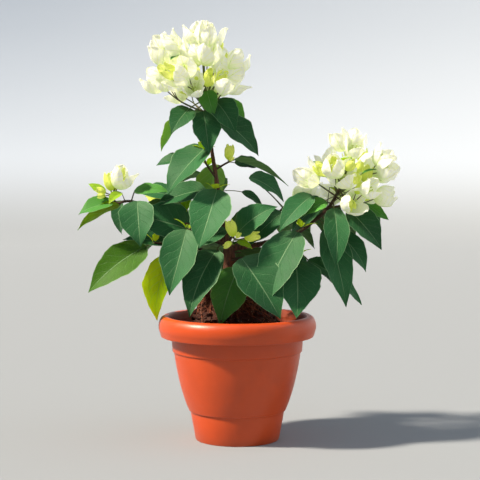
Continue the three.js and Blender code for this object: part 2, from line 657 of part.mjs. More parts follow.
/** Grows every spray: the leaves and blooms that it names, and then those of its rule. */
function growSprays() {
  const limbPoints = pointsOnLimbs();
  for (const spray of SPRAYS) {
    spray.grown = spray.leaves.map((row) => growLeaf(spray, row));
  }
  SPRAYS.forEach((spray, number) => {
    const placed = SPRAYS.flatMap(({ grown }) => grown);
    if (spray.extra) spray.grown.push(...extraLeaves(spray, number, placed, limbPoints));
    spray.bloomed = [
      ...(spray.blooms ? namedBlooms(spray) : []),
      ...(spray.dome ? domeBlooms(spray, number) : []),
    ];
  });
}

/** The trunk and the boughs, each cut clear of those before it. */
function limbMeshes() {
  const meshes = [meshOf('trunk', trunkSolid(0), BARK_COLOUR, 0.85)];
  let taken = trunkSolid(CLEARANCE);
  for (const bough of BOUGHS) {
    meshes.push(meshOf(bough.name, fuse([boughSolid(bough, 0).subtract(taken)]), BARK_COLOUR, 0.85));
    taken = taken.add(boughSolid(bough, CLEARANCE));
  }
  return { meshes, taken };
}

/** The sprays, clear of the limbs and of each other: blades give way to wood and to earlier blades. */
function sprayMeshes(limbs) {
  const wideWood = SPRAYS.map((spray) => woodOf(spray, CLEARANCE));
  const woodTaken = [limbs];
  const greenTaken = [limbs];
  return SPRAYS.map((spray, number) => {
    const otherWood = wideWood.filter((_, other) => other !== number);
    const wood = woodOf(spray, 0).subtract(wasm.Manifold.union(woodTaken));
    const green = greenOf(spray, 0).subtract(wasm.Manifold.union([...greenTaken, ...otherWood]));
    woodTaken.push(wideWood[number]);
    greenTaken.push(greenOf(spray, CLEARANCE));
    return meshOf(spray.name, fuse([wood, green]), LEAF_COLOUR, 0.5);
  });
}

const plant = new THREE.Group();
growSprays();
const limbs = limbMeshes();
plant.add(meshOf('pot', potSolid(), POT_COLOUR, 0.45));
plant.add(meshOf('soil', soilSolid(), SOIL_COLOUR, 0.95));
plant.add(...limbs.meshes);
plant.add(...sprayMeshes(limbs.taken));

export default plant;
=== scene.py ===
"""The looks of a young white bougainvillea in its flower pot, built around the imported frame."""

import math
from functools import partial
from typing import NamedTuple

import bpy
import numpy as np
from bpy.props import FloatProperty, FloatVectorProperty, IntProperty, PointerProperty
from bpy.types import Operator, Panel, PropertyGroup
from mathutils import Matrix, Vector, noise


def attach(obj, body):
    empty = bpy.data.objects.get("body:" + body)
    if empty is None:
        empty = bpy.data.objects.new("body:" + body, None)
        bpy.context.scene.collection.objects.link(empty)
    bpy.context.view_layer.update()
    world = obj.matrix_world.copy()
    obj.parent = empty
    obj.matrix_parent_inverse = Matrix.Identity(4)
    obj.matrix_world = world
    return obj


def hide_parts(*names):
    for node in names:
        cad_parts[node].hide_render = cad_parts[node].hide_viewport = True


bl_info = {
    "name": "Potted bougainvillea",
    "version": (1, 0, 0),
    "blender": (4, 5, 0),
    "location": "3D View > Sidebar > Bougainvillea",
    "description": "Models a young white bougainvillea in its flower pot",
    "category": "Object",
}

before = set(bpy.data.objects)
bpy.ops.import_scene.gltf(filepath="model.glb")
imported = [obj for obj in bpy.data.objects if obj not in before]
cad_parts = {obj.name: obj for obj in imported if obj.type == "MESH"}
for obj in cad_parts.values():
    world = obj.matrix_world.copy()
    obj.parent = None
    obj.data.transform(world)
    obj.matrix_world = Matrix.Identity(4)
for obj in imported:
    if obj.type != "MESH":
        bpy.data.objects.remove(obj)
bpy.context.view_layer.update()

# The growth rule works in millimetres and degrees, the meshes are in metres, and a whole turn is in radians
MM = 0.001
TURN = (0, 2 * math.pi)
UP = np.array([0.0, 0.0, 1.0])

# The pot's wall as rows of radius and height, from its foot up and then down its inside. The settings
# give its foot, rim and height: the foot's edge is given from the foot's radius, and the mouth's rows down
# from the top.
FOOT_EDGE = [(-1.2, 0), (-0.5, 0.25), (0, 1.2)]
GROOVE = [(59.2, 33), (59.2, 36), (59.8, 37.2)]
BELLY = [(61.8, 38), (74.5, 68), (80.5, 112)]
BELLY_STEPS = 14
COLLAR = [(81.4, 112.4), (82.2, 113), (82.5, 114), (83.8, 132), (84.6, 149)]
LIP = [(92.4, 149), (94.4, 132.3), (94.7, 132), (96.3, 132), (96.9, 132.3), (97.2, 133), (97.8, 135.1)]
ROLL_FOOT = 132
ROLL_RADIUS = 91.5
ROLL_START = -0.6
ROLL_STEPS = 18
MOUTH = [(88.5, 0.5), (88, 1.5)]
INSIDE = [(78.6, 128), (77.1, 113), (51, 4.4), (50.5, 4)]
DRAIN_HOLES = 4
DRAIN_CIRCLE = 34
DRAIN_RADIUS = 4
DRAIN_DEPTH = 16
DRAIN_SIDES = 24

# Where materials change, in metres: the pot is dusty, and painted darker as shade, inside a radius and above
# a height; the soil is dry above a height and painted darker below it, as moisture and as shade; and the
# fibrous skin of the trunk's foot ends at one
DUST_AND_SHADE_RADIUS = 0.0885
DUST_AND_SHADE_HEIGHTS = (0.129, 0.134)
DAMP_AND_SHADE_HEIGHTS = (0.162, 0.176)
CROWN_HEIGHTS = (0.215, 0.262)

# The soil and its mound, as in the source, with the lumps of its top: a kind, a size and a height
SOIL_WALL = [(50.2, 4.3), (76.8, 113), (78.3, 128)]
SOIL_SIDES = 150
SOIL_ROWS = 44
SOIL_SURFACE = 138
SOIL_EDGE = 136.5
SOIL_EDGE_RADIUS = 79.3
SOIL_ROUGH_ABOVE = 137
SOIL_LUMPS = [("CLOUDS", 0.011, 0.006), ("CLOUDS", 0.0042, 0.0032), ("STUCCI", 0.002, 0.0015)]
MOUND_FOOT_RADIUS = 60
MOUND_TOP = 189.7
MOUND_TOP_RADIUS = 24
MOUND_MIDDLE_RADIUS = 1.5
MOUND_DROP = 1.2
MOUND_SPREAD = 0.8
MOUND_SWELL = 0.9
MOUND_LEAN = (-12, 6)
MOUND_FRONT = 0.8

# What lies on the soil: how many, and the ranges of their sizes in millimetres and turns in radians
CRUMBS = dict(seed=7, count=2600, sizes=(0.7, 4.2))
GRIT = dict(seed=8, count=150, sizes=(0.5, 1.7))
LUMP_SIDES = 6
LUMP_RANGE = (0.65, 1.25)
LUMP_SQUEEZE = 0.5
LUMP_FLAT = 0.75
LUMP_LIFT = 0.3
SCATTER_REACH = 0.985
ROOTLETS = dict(seed=9, count=150, inner=(6, 40), reach=(12, 34), veer=(-1.4, 1.4), thick=(0.3, 0.9))
ROOTLET_END = 77
ROOTLET_POINTS = 12
ROOTLET_SIDES = 5
ROOTLET_TAPER = 0.6
ROOTLET_BEND = 0.6
ROOTLET_SWAY = 0.12
ROOTLET_LIFT = 1.0
ROOTLET_WAVE = 1.4
STRANDS = dict(
    seed=10, count=64, inner=(14, 34), span=(0.35, 1.1), fall=(4, 18), arch=(3, 11), thick=(0.5, 1.1))
STRAND_POINTS = 14
STRAND_SIDES = 6
STRAND_TAPER = 0.5
STRAND_ROOT = 2
STRAND_WAVE = 0.6

# The limbs, as in the source: each line runs from its root out, with the radii at its ends
TRUNK = [(-8, 5, 186), (-10, 1, 232), (-13, -1, 252), (-21, -3, 290), (-27, -5, 335), (-37, -3, 396)]
TRUNK_FOOT_RADIUS = 10
TRUNK_FLARE = 5
TRUNK_FORK_RADIUS = 6.4
LEADER_RADIUS = 3.4
LEADER_TIP_RADIUS = 2.1
TRUNK_FORK_SHARE = 0.32
LEADER_SHARE = 0.5
TRUNK_STEPS = 90
TRUNK_KNOTS = (0.42, 0.52, 0.6, 0.68, 0.76, 0.84, 0.92)
BOUGH_STEPS = 40
BOUGH_KNOTS = (0.3, 0.5, 0.7, 0.9)
KNOT_WIDTH = 0.018
KNOT_SWELL = 0.14
BOUGHS = {
    "bough_left": ([(-12, 0, 249), (-60, -5, 272), (-118, -7, 300)], 3.6, 2),
    "bough_right": ([(-9, 0, 243), (35, -5, 250), (79, -8, 265)], 3.9, 2.6),
    "bough_back_left": ([(-11, 2, 246), (-34, 30, 262), (-60, 52, 284)], 3.4, 2),
    "bough_back_right": ([(-9, 2, 241), (16, 28, 256), (42, 46, 278)], 3.4, 2),
    "bough_back": ([(-12, 2, 252), (-17, 28, 270), (-25, 50, 300)], 3.2, 2),
}

# The crown of roots, which is finer than in the source, and the bark's relief: a kind, a size and a share
CROWN_SEED = 11
CROWN_ROOTS = 11
CROWN_START = 4
CROWN_REACH = (26, 42)
CROWN_VEER = (-0.5, 0.5)
CROWN_RISE = 17
CROWN_LIFT = 1.6
CROWN_DIVE = 4
CROWN_RADII = (3.6, 1.3)
CROWN_POINTS = 9
CROWN_STEPS = 24
BARK_FURROWS = [("CLOUDS", 0.0032, 1.0), ("STUCCI", 0.0018, 0.5)]
BARK_STRETCH = 4


class Row(NamedTuple):
    """A leaf of a spray: where it leaves the stem, its stalk and blade, its turn, and its breadth."""

    at: float
    stalk: tuple
    blade: tuple
    turn: float = 0
    broad: float = 0.62
    tint: str = "deep"


class Spray(NamedTuple):
    """A mass of foliage: its stem, and the leaves and blooms that it names or that its rule adds."""

    faces: float
    radii: tuple
    stem: list
    rows: list
    extra: dict = None
    dome: dict = None
    blooms: list = ()


# The masses of foliage. They are the source's, but for the tints and for what follows the photograph more
# closely here: the last leaf of foliage_low_right, the height of the head's dome, the bloom that the head
# names, and the second bloom of foliage_left and of foliage_back_left. A stalk, blade or twig is (length,
# heading, rise).
SPRAYS = {
    "foliage_head": Spray(
        -90, (1.9, 1.4), [(-37, -3, 396), (-39, -2, 415), (-41, 0, 433)],
        [
            Row(0.9, (24, -150, -25), (50, -125, -40), -10),
            Row(0.8, (24, 158, -35), (62, 162, -48), 60, tint="mid"),
            Row(0.6, (9, -110, -20), (58, -70, -68)),
            Row(1.0, (14, -75, 35), (38, -60, -60), 20, tint="mid"),
            Row(0.9, (16, -40, 0), (54, -40, -50), 15),
            Row(0.7, (28, 30, 15), (38, 15, -45), 20, tint="mid"),
            Row(0.5, (18, 20, -25), (70, 5, -43), 5),
        ],
        dict(count=4, start=0.3, end=1, heading=90, spread=150, length=(42, 60)),
        dict(centre=(-53, 0, 475), radii=(69, 56, 60), count=17, size=(42, 48), lowest=-0.6, turn=240),
        [(1.0, (20, -150, 20), 24)],
    ),
    "foliage_upper_left": Spray(
        -110, (1.4, 1.1), [(-26, -6, 331), (-40, -9, 352), (-41, -12, 366)],
        [
            Row(1.0, (6, 30, 60), (80, -155, -47), 0, 0.64),
            Row(0.7, (34, 150, -5), (36, 160, -12)),
        ],
    ),
    "foliage_upper_right": Spray(
        -80, (1.4, 1.1), [(-25, -7, 344), (-15, -9, 350), (-7, -11, 354)],
        [
            Row(1.0, (4, -8, 20), (76, -10, -26), -55, 0.45),
            Row(0.2, (26, 110, 5), (66, 105, -76), 160, tint="mid"),
            Row(0.6, (20, 60, 0), (40, 15, -6)),
        ],
        blooms=[(0.7, (3, 60, 75), 20)],
    ),
    "foliage_middle": Spray(
        -95, (1.5, 1.2), [(-24, -9, 312), (-27, -17, 318), (-27, -23, 318)],
        [
            Row(1.0, (4, -60, 0), (82, -126, -62), 0, 0.66),
            Row(0.3, (15, 150, 5), (68, -178, -18)),
            Row(0.1, (36, 165, -5), (32, -170, -70), 0, 0.4, "lime"),
            Row(0.2, (34, 25, 0), (36, 10, -38), 0, 0.4),
        ],
    ),
    "foliage_front_left": Spray(
        -95, (1.8, 1.3), [(-16, -8, 247), (-38, -20, 258), (-60, -28, 268)],
        [
            Row(1.0, (5, -130, 10), (86, -130, -68), 0, 0.56),
            Row(0.3, (32, 160, 22), (80, -174, 15), -30),
            Row(0.1, (16, -110, -25), (94, -133, -58), 0, 0.5),
        ],
    ),
    "foliage_front_right": Spray(
        -90, (1.9, 1.3), [(-6, -5, 229), (24, -22, 236), (54, -28, 248), (80, -30, 270)],
        [
            Row(1.0, (8, -140, -30), (106, -147, -60), 0, 0.5),
            Row(0.25, (26, -115, 0), (92, -33, -52), 0, 0.66),
        ],
    ),
    "foliage_centre": Spray(
        -90, (1.5, 1.1), [(-10, -9, 253), (-6, -22, 259), (-3, -33, 256)],
        [
            Row(0.5, (7, 0, 35), (62, -14, 34), 15),
            Row(0.2, (14, 150, 60), (45, -160, -30)),
            Row(1.0, (3, -10, -40), (22, -10, -25), 0, 0.5, "lime"),
        ],
        blooms=[(1.0, (4, 150, 70), 22), (1.0, (12, 0, 10), 20)],
    ),
    "foliage_left": Spray(
        -100, (1.8, 1.2), [(-118, -7, 300), (-138, -6, 303), (-152, -6, 301), (-158, -6, 311)],
        [
            Row(0.05, (12, -110, 15), (62, -78, -64), 0, 0.72),
            Row(0.25, (13, 0, 75), (47, -8, 0), 0, 0.5, "mid"),
            Row(0.4, (12, -142, 65), (24, -142, -35), tint="lime"),
            Row(0.75, (3, -168, -20), (46, -166, -18), tint="mid"),
            # A young leaf in painted shade, with a darker copy of the lime
            Row(0.45, (6, 180, -40), (62, -178, -30), 70, 0.45, "olive"),
            Row(0.95, (10, 165, 20), (26, 165, 28), 0, 0.5, "lime"),
        ],
        dict(count=3, start=0.1, end=0.8, heading=90, spread=120, length=(44, 58)),
        blooms=[(1.0, (5, 150, 80), 24), (0.9, (12, -10, 65), 32), (0.9, (12, 40, 75), 28)],
    ),
    "foliage_right": Spray(
        -85, (2.4, 1.6),
        [(79, -8, 265), (101, -10, 282), (116, -12, 297), (125, -12, 312), (130, -12, 322)],
        [
            Row(0.1, (36, 175, 28), (60, -176, -44)),
            Row(0.4, (28, -150, 45), (64, -154, -43), 0, 0.5),
            Row(0.7, (16, -150, -20), (40, -154, -28), tint="mid"),
            Row(0.6, (17, -90, -30), (76, -88, -70), 0, 0.42),
            Row(0.25, (16, -15, -45), (104, -30, -74), 0, 0.4),
            Row(0.3, (30, 5, -45), (62, -14, -52), 0, 0.5),
            Row(0.7, (23, -15, -45), (66, -24, -48)),
            Row(0.75, (34, 25, -25), (54, 20, -60)),
            Row(0.85, (36, 5, -25), (38, 0, -35), 30, 0.4, "mid"),
        ],
        dict(count=5, start=0.2, end=0.9, heading=80, spread=130, length=(58, 78)),
        dict(centre=(138, -12, 336), radii=(72, 52, 62), count=14, size=(40, 46), lowest=-0.7, turn=60),
        [(1.0, (6, -90, 35), 40)],
    ),
    "foliage_low_left": Spray(
        -100, (1.9, 1.3), [(-15, 3, 232), (-60, 2, 245), (-104, -2, 250)],
        [
            # A young leaf in painted shade, with a darker copy of the lime
            Row(1.0, (12, -168, -20), (94, -168, -38), -20, 0.5, "olive"),
            Row(0.55, (24, 150, -25), (90, 155, -74), 100, tint="lime"),
            Row(0.5, (26, 165, 8), (62, 178, 5), 0, 0.5),
        ],
        dict(count=4, start=0.3, end=1, heading=130, spread=90, length=(62, 82)),
    ),
    "foliage_low_right": Spray(
        -80, (1.9, 1.3), [(-2, -2, 224), (40, -7, 230), (80, -10, 237)],
        [
            Row(0.12, (12, -127, -30), (80, -127, -61), tint="mid"),
            Row(0.95, (12, -110, -30), (84, -90, -54), 0, 0.72),
            Row(1.0, (12, 12, -42), (90, 2, -39), 0, 0.38),
        ],
        dict(count=4, start=0.3, end=1, heading=45, spread=90, length=(62, 82)),
    ),
    "foliage_back_left": Spray(
        110, (1.8, 1.2), [(-60, 52, 284), (-80, 62, 296), (-94, 66, 306)],
        [Row(0.2, (24, -140, 50), (52, 178, 6), -75)],
        dict(count=9, start=0, end=1, heading=125, spread=180, length=(58, 80)),
        blooms=[(0.9, (10, 130, 10), 34), (1.0, (12, 160, -45), 24)],
    ),
    "foliage_back_right": Spray(
        70, (1.8, 1.2), [(42, 46, 278), (60, 55, 292), (72, 60, 304)],
        [
            Row(0.5, (61, -171, 42), (56, 5, -34), 75),
            Row(0.9, (12, -30, 10), (44, 15, -10), 75),
        ],
        dict(count=9, start=0, end=1, heading=65, spread=180, length=(58, 80)),
        blooms=[(1.0, (12, 60, 0), 36), (1.0, (14, 20, 10), 34)],
    ),
    "foliage_back": Spray(
        90, (1.8, 1.2), [(-25, 50, 300), (-33, 58, 324), (-38, 58, 346)], [],
        dict(count=8, start=0, end=1, heading=110, spread=150, length=(50, 70)),
    ),
    "foliage_back_low": Spray(
        90, (1.9, 1.3), [(-9, 9, 231), (-10, 36, 242), (-6, 62, 240)], [],
        dict(count=8, start=0.1, end=1, heading=90, spread=230, length=(66, 88)),
    ),
}

# The growth rule's values, as in the source
SEED = 41
GOLDEN_ANGLE = 137.5
LEAF_ARCH = 0.07
FACE_RISE = 0.8
FACE_OUT = 0.6
EXTRA_FALL = (12, 62)
EXTRA_STALK = (12, 22)
EXTRA_RISE = (0, 35)
EXTRA_TURN = 25
LEAF_SPACING = 30
LIMB_SPACING = 6
LIMB_STEPS = 24
LOWEST_TIP = 166
FIT_SHARES = (0.3, 0.5, 0.7, 0.9)
DOME_ROOT = 0.6
DOME_REACH = (0.9, 1)
BLOOM_WIDTH = 0.88
THIRD = 120

# What is finer than in the source: the domes' umbels, the smaller and younger blooms inside them, buds,
# small leaves and the growing tips
YOUNG_SIZE = 31
STILL_YOUNG = ("foliage_back_left",)
TWIG_SAG = 0.06
BLOOM_GIRTH = 0.36
UMBEL_PULL = 0.42
UMBEL_FORK = 0.45
UMBELS = {
    "foliage_head": [
        (-0.7, -0.35, 0.5), (-0.85, -0.2, -0.45), (0.15, -0.4, 0.9), (0.9, -0.3, 0.1), (-0.25, -0.95, -0.15),
        (0.75, -0.6, -0.35), (-0.5, 0.8, 0.3), (0.45, 0.75, 0.45), (0.4, 0.8, -0.4), (-0.3, 0.75, -0.5),
    ],
    "foliage_right": [
        (-0.9, -0.3, 0.15), (-0.3, -0.9, 0.25), (0.2, -0.3, 0.9), (0.85, -0.2, 0.35), (0.8, -0.3, -0.5),
        (0.45, -0.75, -0.5), (-0.4, 0.8, 0.4), (0.4, 0.8, 0.3), (0, 0.9, -0.3),
    ],
}
SHRINK_SEED = 70
SHRINK = (0.62, 0.86)
INNER_SEED = 90
INNER_LAYERS = [
    dict(count=40, size=(23, 33), reach=(0.8, 1.0), turn=200, tint="white"),
    dict(count=70, size=(13, 23), reach=(0.45, 0.95), turn=68, tint="young"),
    dict(count=90, size=(19, 28), reach=(0.5, 0.85), turn=25, tint="white"),
]
INNER_SHARE = 0.24
INNER_DOWN = (0, 0.92)
SMALL_SEED = 120
SMALL_LEAVES = 40
SMALL_LENGTH = (15, 26)
SMALL_REACH = (0.4, 0.9)
SMALL_GAP = 2
SMALL_DOWN = (0.25, 1)
SMALL_TURN = 60
SMALL_SWAY = 50
SMALL_RISE = (-35, 30)
SMALL_BROAD = 0.55
SMALL_MID = 0.3
TIP_SEED = 150
TIP_LEAVES = 3
TIP_LENGTH = (10, 22)
TIP_STALK = (2, 5)
TIP_STALK_RISE = 40
TIP_RISE = (5, 50)
TIP_FAN = 100
TIP_SWAY = 30
TIP_BROAD = 0.5
BUDS = {
    "foliage_head": [
        (1.0, (28, -117, 48), 26), (1.0, (22, -76, 40), 26), (1.0, (44, -80, 62), 34),
        (1.0, (25, -45, 39), 24), (1.0, (40, -138, 72), 32), (1.0, (52, -138, 27), 28),
    ],
    "foliage_right": [
        (1.0, (26, -110, 40), 26), (0.95, (22, -60, 20), 22), (1.0, (24, -150, 35), 24),
        (0.9, (24, -70, -30), 22),
    ],
    "foliage_left": [(1.0, (8, -170, 20), 13), (1.0, (8, -160, -5), 11), (0.95, (9, 80, 55), 20)],
    "foliage_centre": [(1.0, (6, -150, -30), 12), (1.0, (5, -60, 35), 10)],
    "foliage_upper_right": [(0.7, (3, -40, 40), 9)],
}

# The stems, stalks and twigs: their points, sides and radii, and the swelling where a leaf leaves a stem
STEM_POINTS = 33
STEM_SIDES = 12
STEM_ROOT = 0.6
JOINT_WIDTH = 0.03
JOINT_SWELL = 0.16
STALK_RADII = (1.25, 1.0, 0.85, 0.8, 0.8, 0.8, 0.8, 0.8, 0.7)
STALK_SIDES = 8
STALK_RISE = 0.05
STALK_LAP = 0.015
SMALL_LEAF = 40
SMALL_STALK = 0.65
TWIG_RADII = (1.25, 0.7)
TWIG_POINTS = 12
TWIG_SIDES = 7
TWIG_LAP = 0.05

# The angles in degrees over which an edge is drawn sharp
POT_SHARP = 32
SOIL_SHARP = 60
BARK_SHARP = 60
MESH_SHARP = 50

# The leaf blades: their outline and grid, how much light each tint lets through, and the ranges of what
# differs from leaf to leaf: the fold is in degrees, the phase in radians, the waves are a count along the
# edge, and ripple, bend and curl are shares of the length
LEAF_WIDEST = 0.38
LEAF_POINT = 1.25
LEAF_ROWS = 20
LEAF_COLUMNS = 12
LEAF_EDGE = 0.004
LEAF_SPREAD = 0.92
LEAF_CUP = 1.3
LEAF_CURL_START = 0.72
LEAF_GROOVE = 0.3
LEAF_GROOVE_WIDTH = 1.3
LEAF_THIN_EDGE = 0.35
LEAF_SEED = 300
LEAF_GLOW = {"deep": 0.0, "mid": 0.15, "lime": 0.4, "olive": 0.1}
LEAF_RANGES = dict(
    fold=(9, 20), ripple=(0.004, 0.016), phase=TURN, waves=(1.4, 2.6), bend=(-0.035, 0.035),
    twist=(-0.16, 0.16), curl=(0.0, 0.05), lopside=(-0.07, 0.07))

# The blooms: a bract's grid, its spread and arc in degrees, closed and open, and the tube flowers inside
BRACT_ROWS = 14
BRACT_COLUMNS = 10
BRACT_FOOT = 0.03
BRACT_SPREAD = 64
BRACT_SHOULDER = 0.42
BRACT_TAPER = (0.5, 0.8)
BRACT_ARC = (158, 96)
BRACT_LENGTH = (1, 0.86)
BRACT_FLARE = (0.02, 0.05)
BRACT_KEEL = 0.11
BRACT_CREASE = 0.07
BRACT_RIDGE = 0.03
BRACT_WAVE = 0.045
BRACT_RIM = 0.045
BRACT_SKEW = 0.02
BRACT_POINT = 0.05
BRACT_OPEN_FLARE = 0.08
SLIM_BUD = 0.66
BRACT_SEED = 400
# How much each tint of bract glows: painted light, an emission that stands in for sun shining through
BRACT_PAINTED_GLOW = {"white": 0.17, "young": 0.2}
BRACT_OPENING = {"white": 0.75, "young": 0.1}
FLOWER_SIDES = 8
FLOWER_LEAN = 0.22
FLOWER_FOOT = 0.1
FLOWER_LENGTH = 0.5
FLOWER_SHARES = (0, 0.15, 0.4, 0.75, 0.93, 1.0, 1.03)
FLOWER_RADII = (0.5, 1.1, 1.25, 0.8, 0.9, 2.3, 0.5)
FLOWER_BLOOM = 44

# The studio: its floor's radius, the bend that lifts it, its wall's top, and the lamps' directions and
# widths in degrees
FLOOR_RADIUS = 4000
FLOOR_BEND = 1200
FLOOR_TOP = (5200, 2600)
FLOOR_SIDES = 96
FLOOR_STEPS = 12
LAMPS = {
    "key": ((-3, -0.72, 3.1), 6, "sun"),
    "side": ((3, 0.4, 1.6), 60, "sky"),
    "front": ((0.3, -1.1, 3), 60, "sky"),
}
CAMERA_PLACE = (0.0034, -1.69, 0.354)
CAMERA_FALL = 3.4


def linear(code):
    """The linear colour of a hex code."""
    shares = (int(code[i:i + 2], 16) / 255 for i in (1, 3, 5))
    return tuple(((share + 0.055) / 1.055) ** 2.4 if share > 0.04 else share / 12.92 for share in shares)


def colour(name, code, thing):
    """A colour property with its default from a hex code."""
    return FloatVectorProperty(
        name=name, description=f"Colour of the {thing}", subtype="COLOR", size=3, min=0, max=1,
        default=linear(code))


def length(name, metres, words):
    """A length property."""
    return FloatProperty(name=name, description=words, default=metres, min=0, unit="LENGTH")


def strength(name, value, words):
    """A property for the strength of a light."""
    return FloatProperty(name=name, description=f"Strength of the {words}", default=value, min=0)


class PotSettings(PropertyGroup):
    """The sizes and colours of the flower pot and its soil."""

    rim_radius: length("Rim radius", 0.100, "Outer radius of the rolled rim")
    rim_top: length("Height", 0.158, "Height of the rim's top")
    foot_radius: length("Foot radius", 0.0533, "Radius of the pot's foot")
    sides: IntProperty(name="Sides", description="Sides of the turned pot", default=128, min=12)
    shell: colour("Pot", "#c04614", "pot's plastic")
    earth: colour("Soil", "#83442a", "dry soil")
    damp_and_shade: colour("Damp soil", "#32140d", "damp soil in its hollows")
    grit: colour("Grit", "#b9a48e", "pale grit in the soil")


class WoodSettings(PropertyGroup):
    """The sizes and colours of the trunk, the boughs and the twigs."""

    grain: length("Grain", 0.0009, "Size of the facets that the trunk's skin is made from")
    relief: length("Relief", 0.0012, "Depth of the bark's furrows")
    bark: colour("Bark", "#694433", "old bark")
    crown: colour("Root crown", "#8f4c2c", "fibrous skin low on the trunk")
    furrow: colour("Furrow", "#2c1a14", "bark's furrows")
    twig: colour("Twig", "#4a3526", "young twigs")
    stalk: colour("Leaf stalk", "#5d6b35", "leaf stalks")


class LeafSettings(PropertyGroup):
    """The sizes and colours of the leaves."""

    thickness: length("Thickness", 0.0005, "Thickness of a leaf blade")
    deep: colour("Deep green", "#275c33", "full-grown leaves")
    mid: colour("Mid green", "#468235", "younger leaves")
    # The lime tint is the youngest leaves' own colour; its bright underside is also painted light, for sun
    # shining through back-lit leaves
    lime: colour("Lime green", "#759812", "youngest leaves")
    # The next tint and its underside are painted shade: darker copies of the lime, for young leaves low at
    # the left
    olive: colour("Olive green", "#376500", "low leaves at the left")
    deep_under: colour("Underside", "#5b8449", "undersides of the full-grown leaves")
    mid_under: colour("Mid underside", "#76a548", "undersides of the younger leaves")
    lime_under: colour("Lime underside", "#c4ea20", "undersides of the youngest leaves")
    olive_under: colour("Olive underside", "#6c8a10", "undersides of the low leaves at the left")
    vein: colour("Vein", "#8fb184", "midribs")


class BloomSettings(PropertyGroup):
    """The sizes and colours of the blooms."""

    thickness: length("Thickness", 0.00028, "Thickness of a bract")
    white: colour("Bract", "#fffeea", "full-grown bracts")
    young: colour("Young bract", "#dfe868", "young bracts")
    heart: colour("Heart", "#adcc26", "bracts' feet and veins")
    tube: colour("Flower", "#e3e6ae", "small tube flowers")


class StudioSettings(PropertyGroup):
    """The floor, the lights and the camera."""

    floor: colour("Floor", "#90959b", "studio floor")
    sky: colour("Fill", "#e6edf4", "light from all round")
    sun: colour("Key", "#fff1dc", "key light")
    key_power: strength("Key", 7.5, "key light")
    side_power: strength("Side", 0.8, "wide light at the right")
    front_power: strength("Front", 0.5, "wide light in front")
    fill_power: strength("Fill", 0.3, "light from all round")
    lens: FloatProperty(name="Lens", description="Focal length of the camera in millimetres", default=100.3)


# Growing the plant


def stream(seed):
    """A repeatable stream of numbers from 0 up to 1, the same as the source's."""
    state = seed
    while True:
        state = (state * 1664525 + 1013904223) % 2 ** 32
        yield state / 2 ** 32


def between(pair, share):
    """A value between two, by a share."""
    return pair[0] + (pair[1] - pair[0]) * share


def draw(random, pair):
    """A random value between two."""
    return between(pair, next(random))


def direction(heading, rise):
    """The unit vector of a heading and a rise in degrees."""
    flat = math.cos(math.radians(rise))
    heading = math.radians(heading)
    return np.array([math.cos(heading) * flat, math.sin(heading) * flat, math.sin(math.radians(rise))])


def unit(vector):
    """The vector at length 1."""
    return vector / np.linalg.norm(vector)


def turned(vector, axis, degrees):
    """The vector turned about a unit axis."""
    angle = math.radians(degrees)
    return (vector * math.cos(angle) + np.cross(axis, vector) * math.sin(angle)
            + axis * np.dot(axis, vector) * (1 - math.cos(angle)))


class Curve:
    """A smooth curve through points, the same as the source's."""

    def __init__(self, points):
        inner = [np.array(point, float) for point in points]
        self.points = [2 * inner[0] - inner[1], *inner, 2 * inner[-1] - inner[-2]]

    def at(self, share):
        """The point at a share of the curve."""
        spans = len(self.points) - 3
        first = min(int(share * spans), spans - 1)
        on = share * spans - first
        a, b, c, d = self.points[first:first + 4]
        v0, v1 = (c - a) / 2, (d - b) / 2
        return (2 * b - 2 * c + v0 + v1) * on ** 3 + (-3 * b + 3 * c - 2 * v0 - v1) * on ** 2 + v0 * on + b


class Leaf(NamedTuple):
    """A leaf in space: where its stalk starts, its blade's foot, directions and size, and its tint."""

    start: np.ndarray
    foot: np.ndarray
    along: np.ndarray
    face: np.ndarray
    length: float
    width: float
    tint: str

    def midrib(self, share):
        """A point on the midrib."""
        lift = LEAF_ARCH * self.length * 4 * share * (1 - share)
        return self.foot + self.along * share * self.length + self.face * lift


class Bloom(NamedTuple):
    """A bloom in space: its twig's start and knot, its foot, axis and first bract's side, size and tint."""

    start: np.ndarray
    knot: np.ndarray
    foot: np.ndarray
    axis: np.ndarray
    side: np.ndarray
    size: float
    tint: str

    def middle(self):
        """The middle of the bloom."""
        return self.foot + self.axis * self.size / 2


def clear(point, reach, blooms):
    """Whether a ball round a point keeps clear of the blooms."""
    return all(np.linalg.norm(bloom.middle() - point) > reach + BLOOM_GIRTH * bloom.size for bloom in blooms)


def grow_leaf(spray, row):
    """A leaf's stalk and blade from a row of its spray."""
    start = Curve(spray.stem).at(row.at)
    foot = start + direction(*row.stalk[1:]) * row.stalk[0]
    size, heading, rise = row.blade
    along = direction(heading, rise)
    aim = direction(spray.faces, 0) * FACE_OUT + UP * FACE_RISE
    face = turned(unit(aim - along * np.dot(aim, along)), along, row.turn)
    return Leaf(start, foot, along, face, size, size * row.broad, row.tint)


def fits(leaf, placed, limbs):
    """Whether a leaf keeps clear of the limbs and of the leaves placed so far, and ends above the pot."""
    if leaf.foot[2] + leaf.along[2] * leaf.length < LOWEST_TIP:
        return False
    middle = leaf.midrib(0.5)
    if any(np.linalg.norm(other.midrib(0.5) - middle) < LEAF_SPACING for other in placed):
        return False
    for share in FIT_SHARES:
        point = leaf.foot + leaf.along * leaf.length * share
        if min(np.linalg.norm(limbs - point, axis=1)) <= LIMB_SPACING:
            return False
    return True


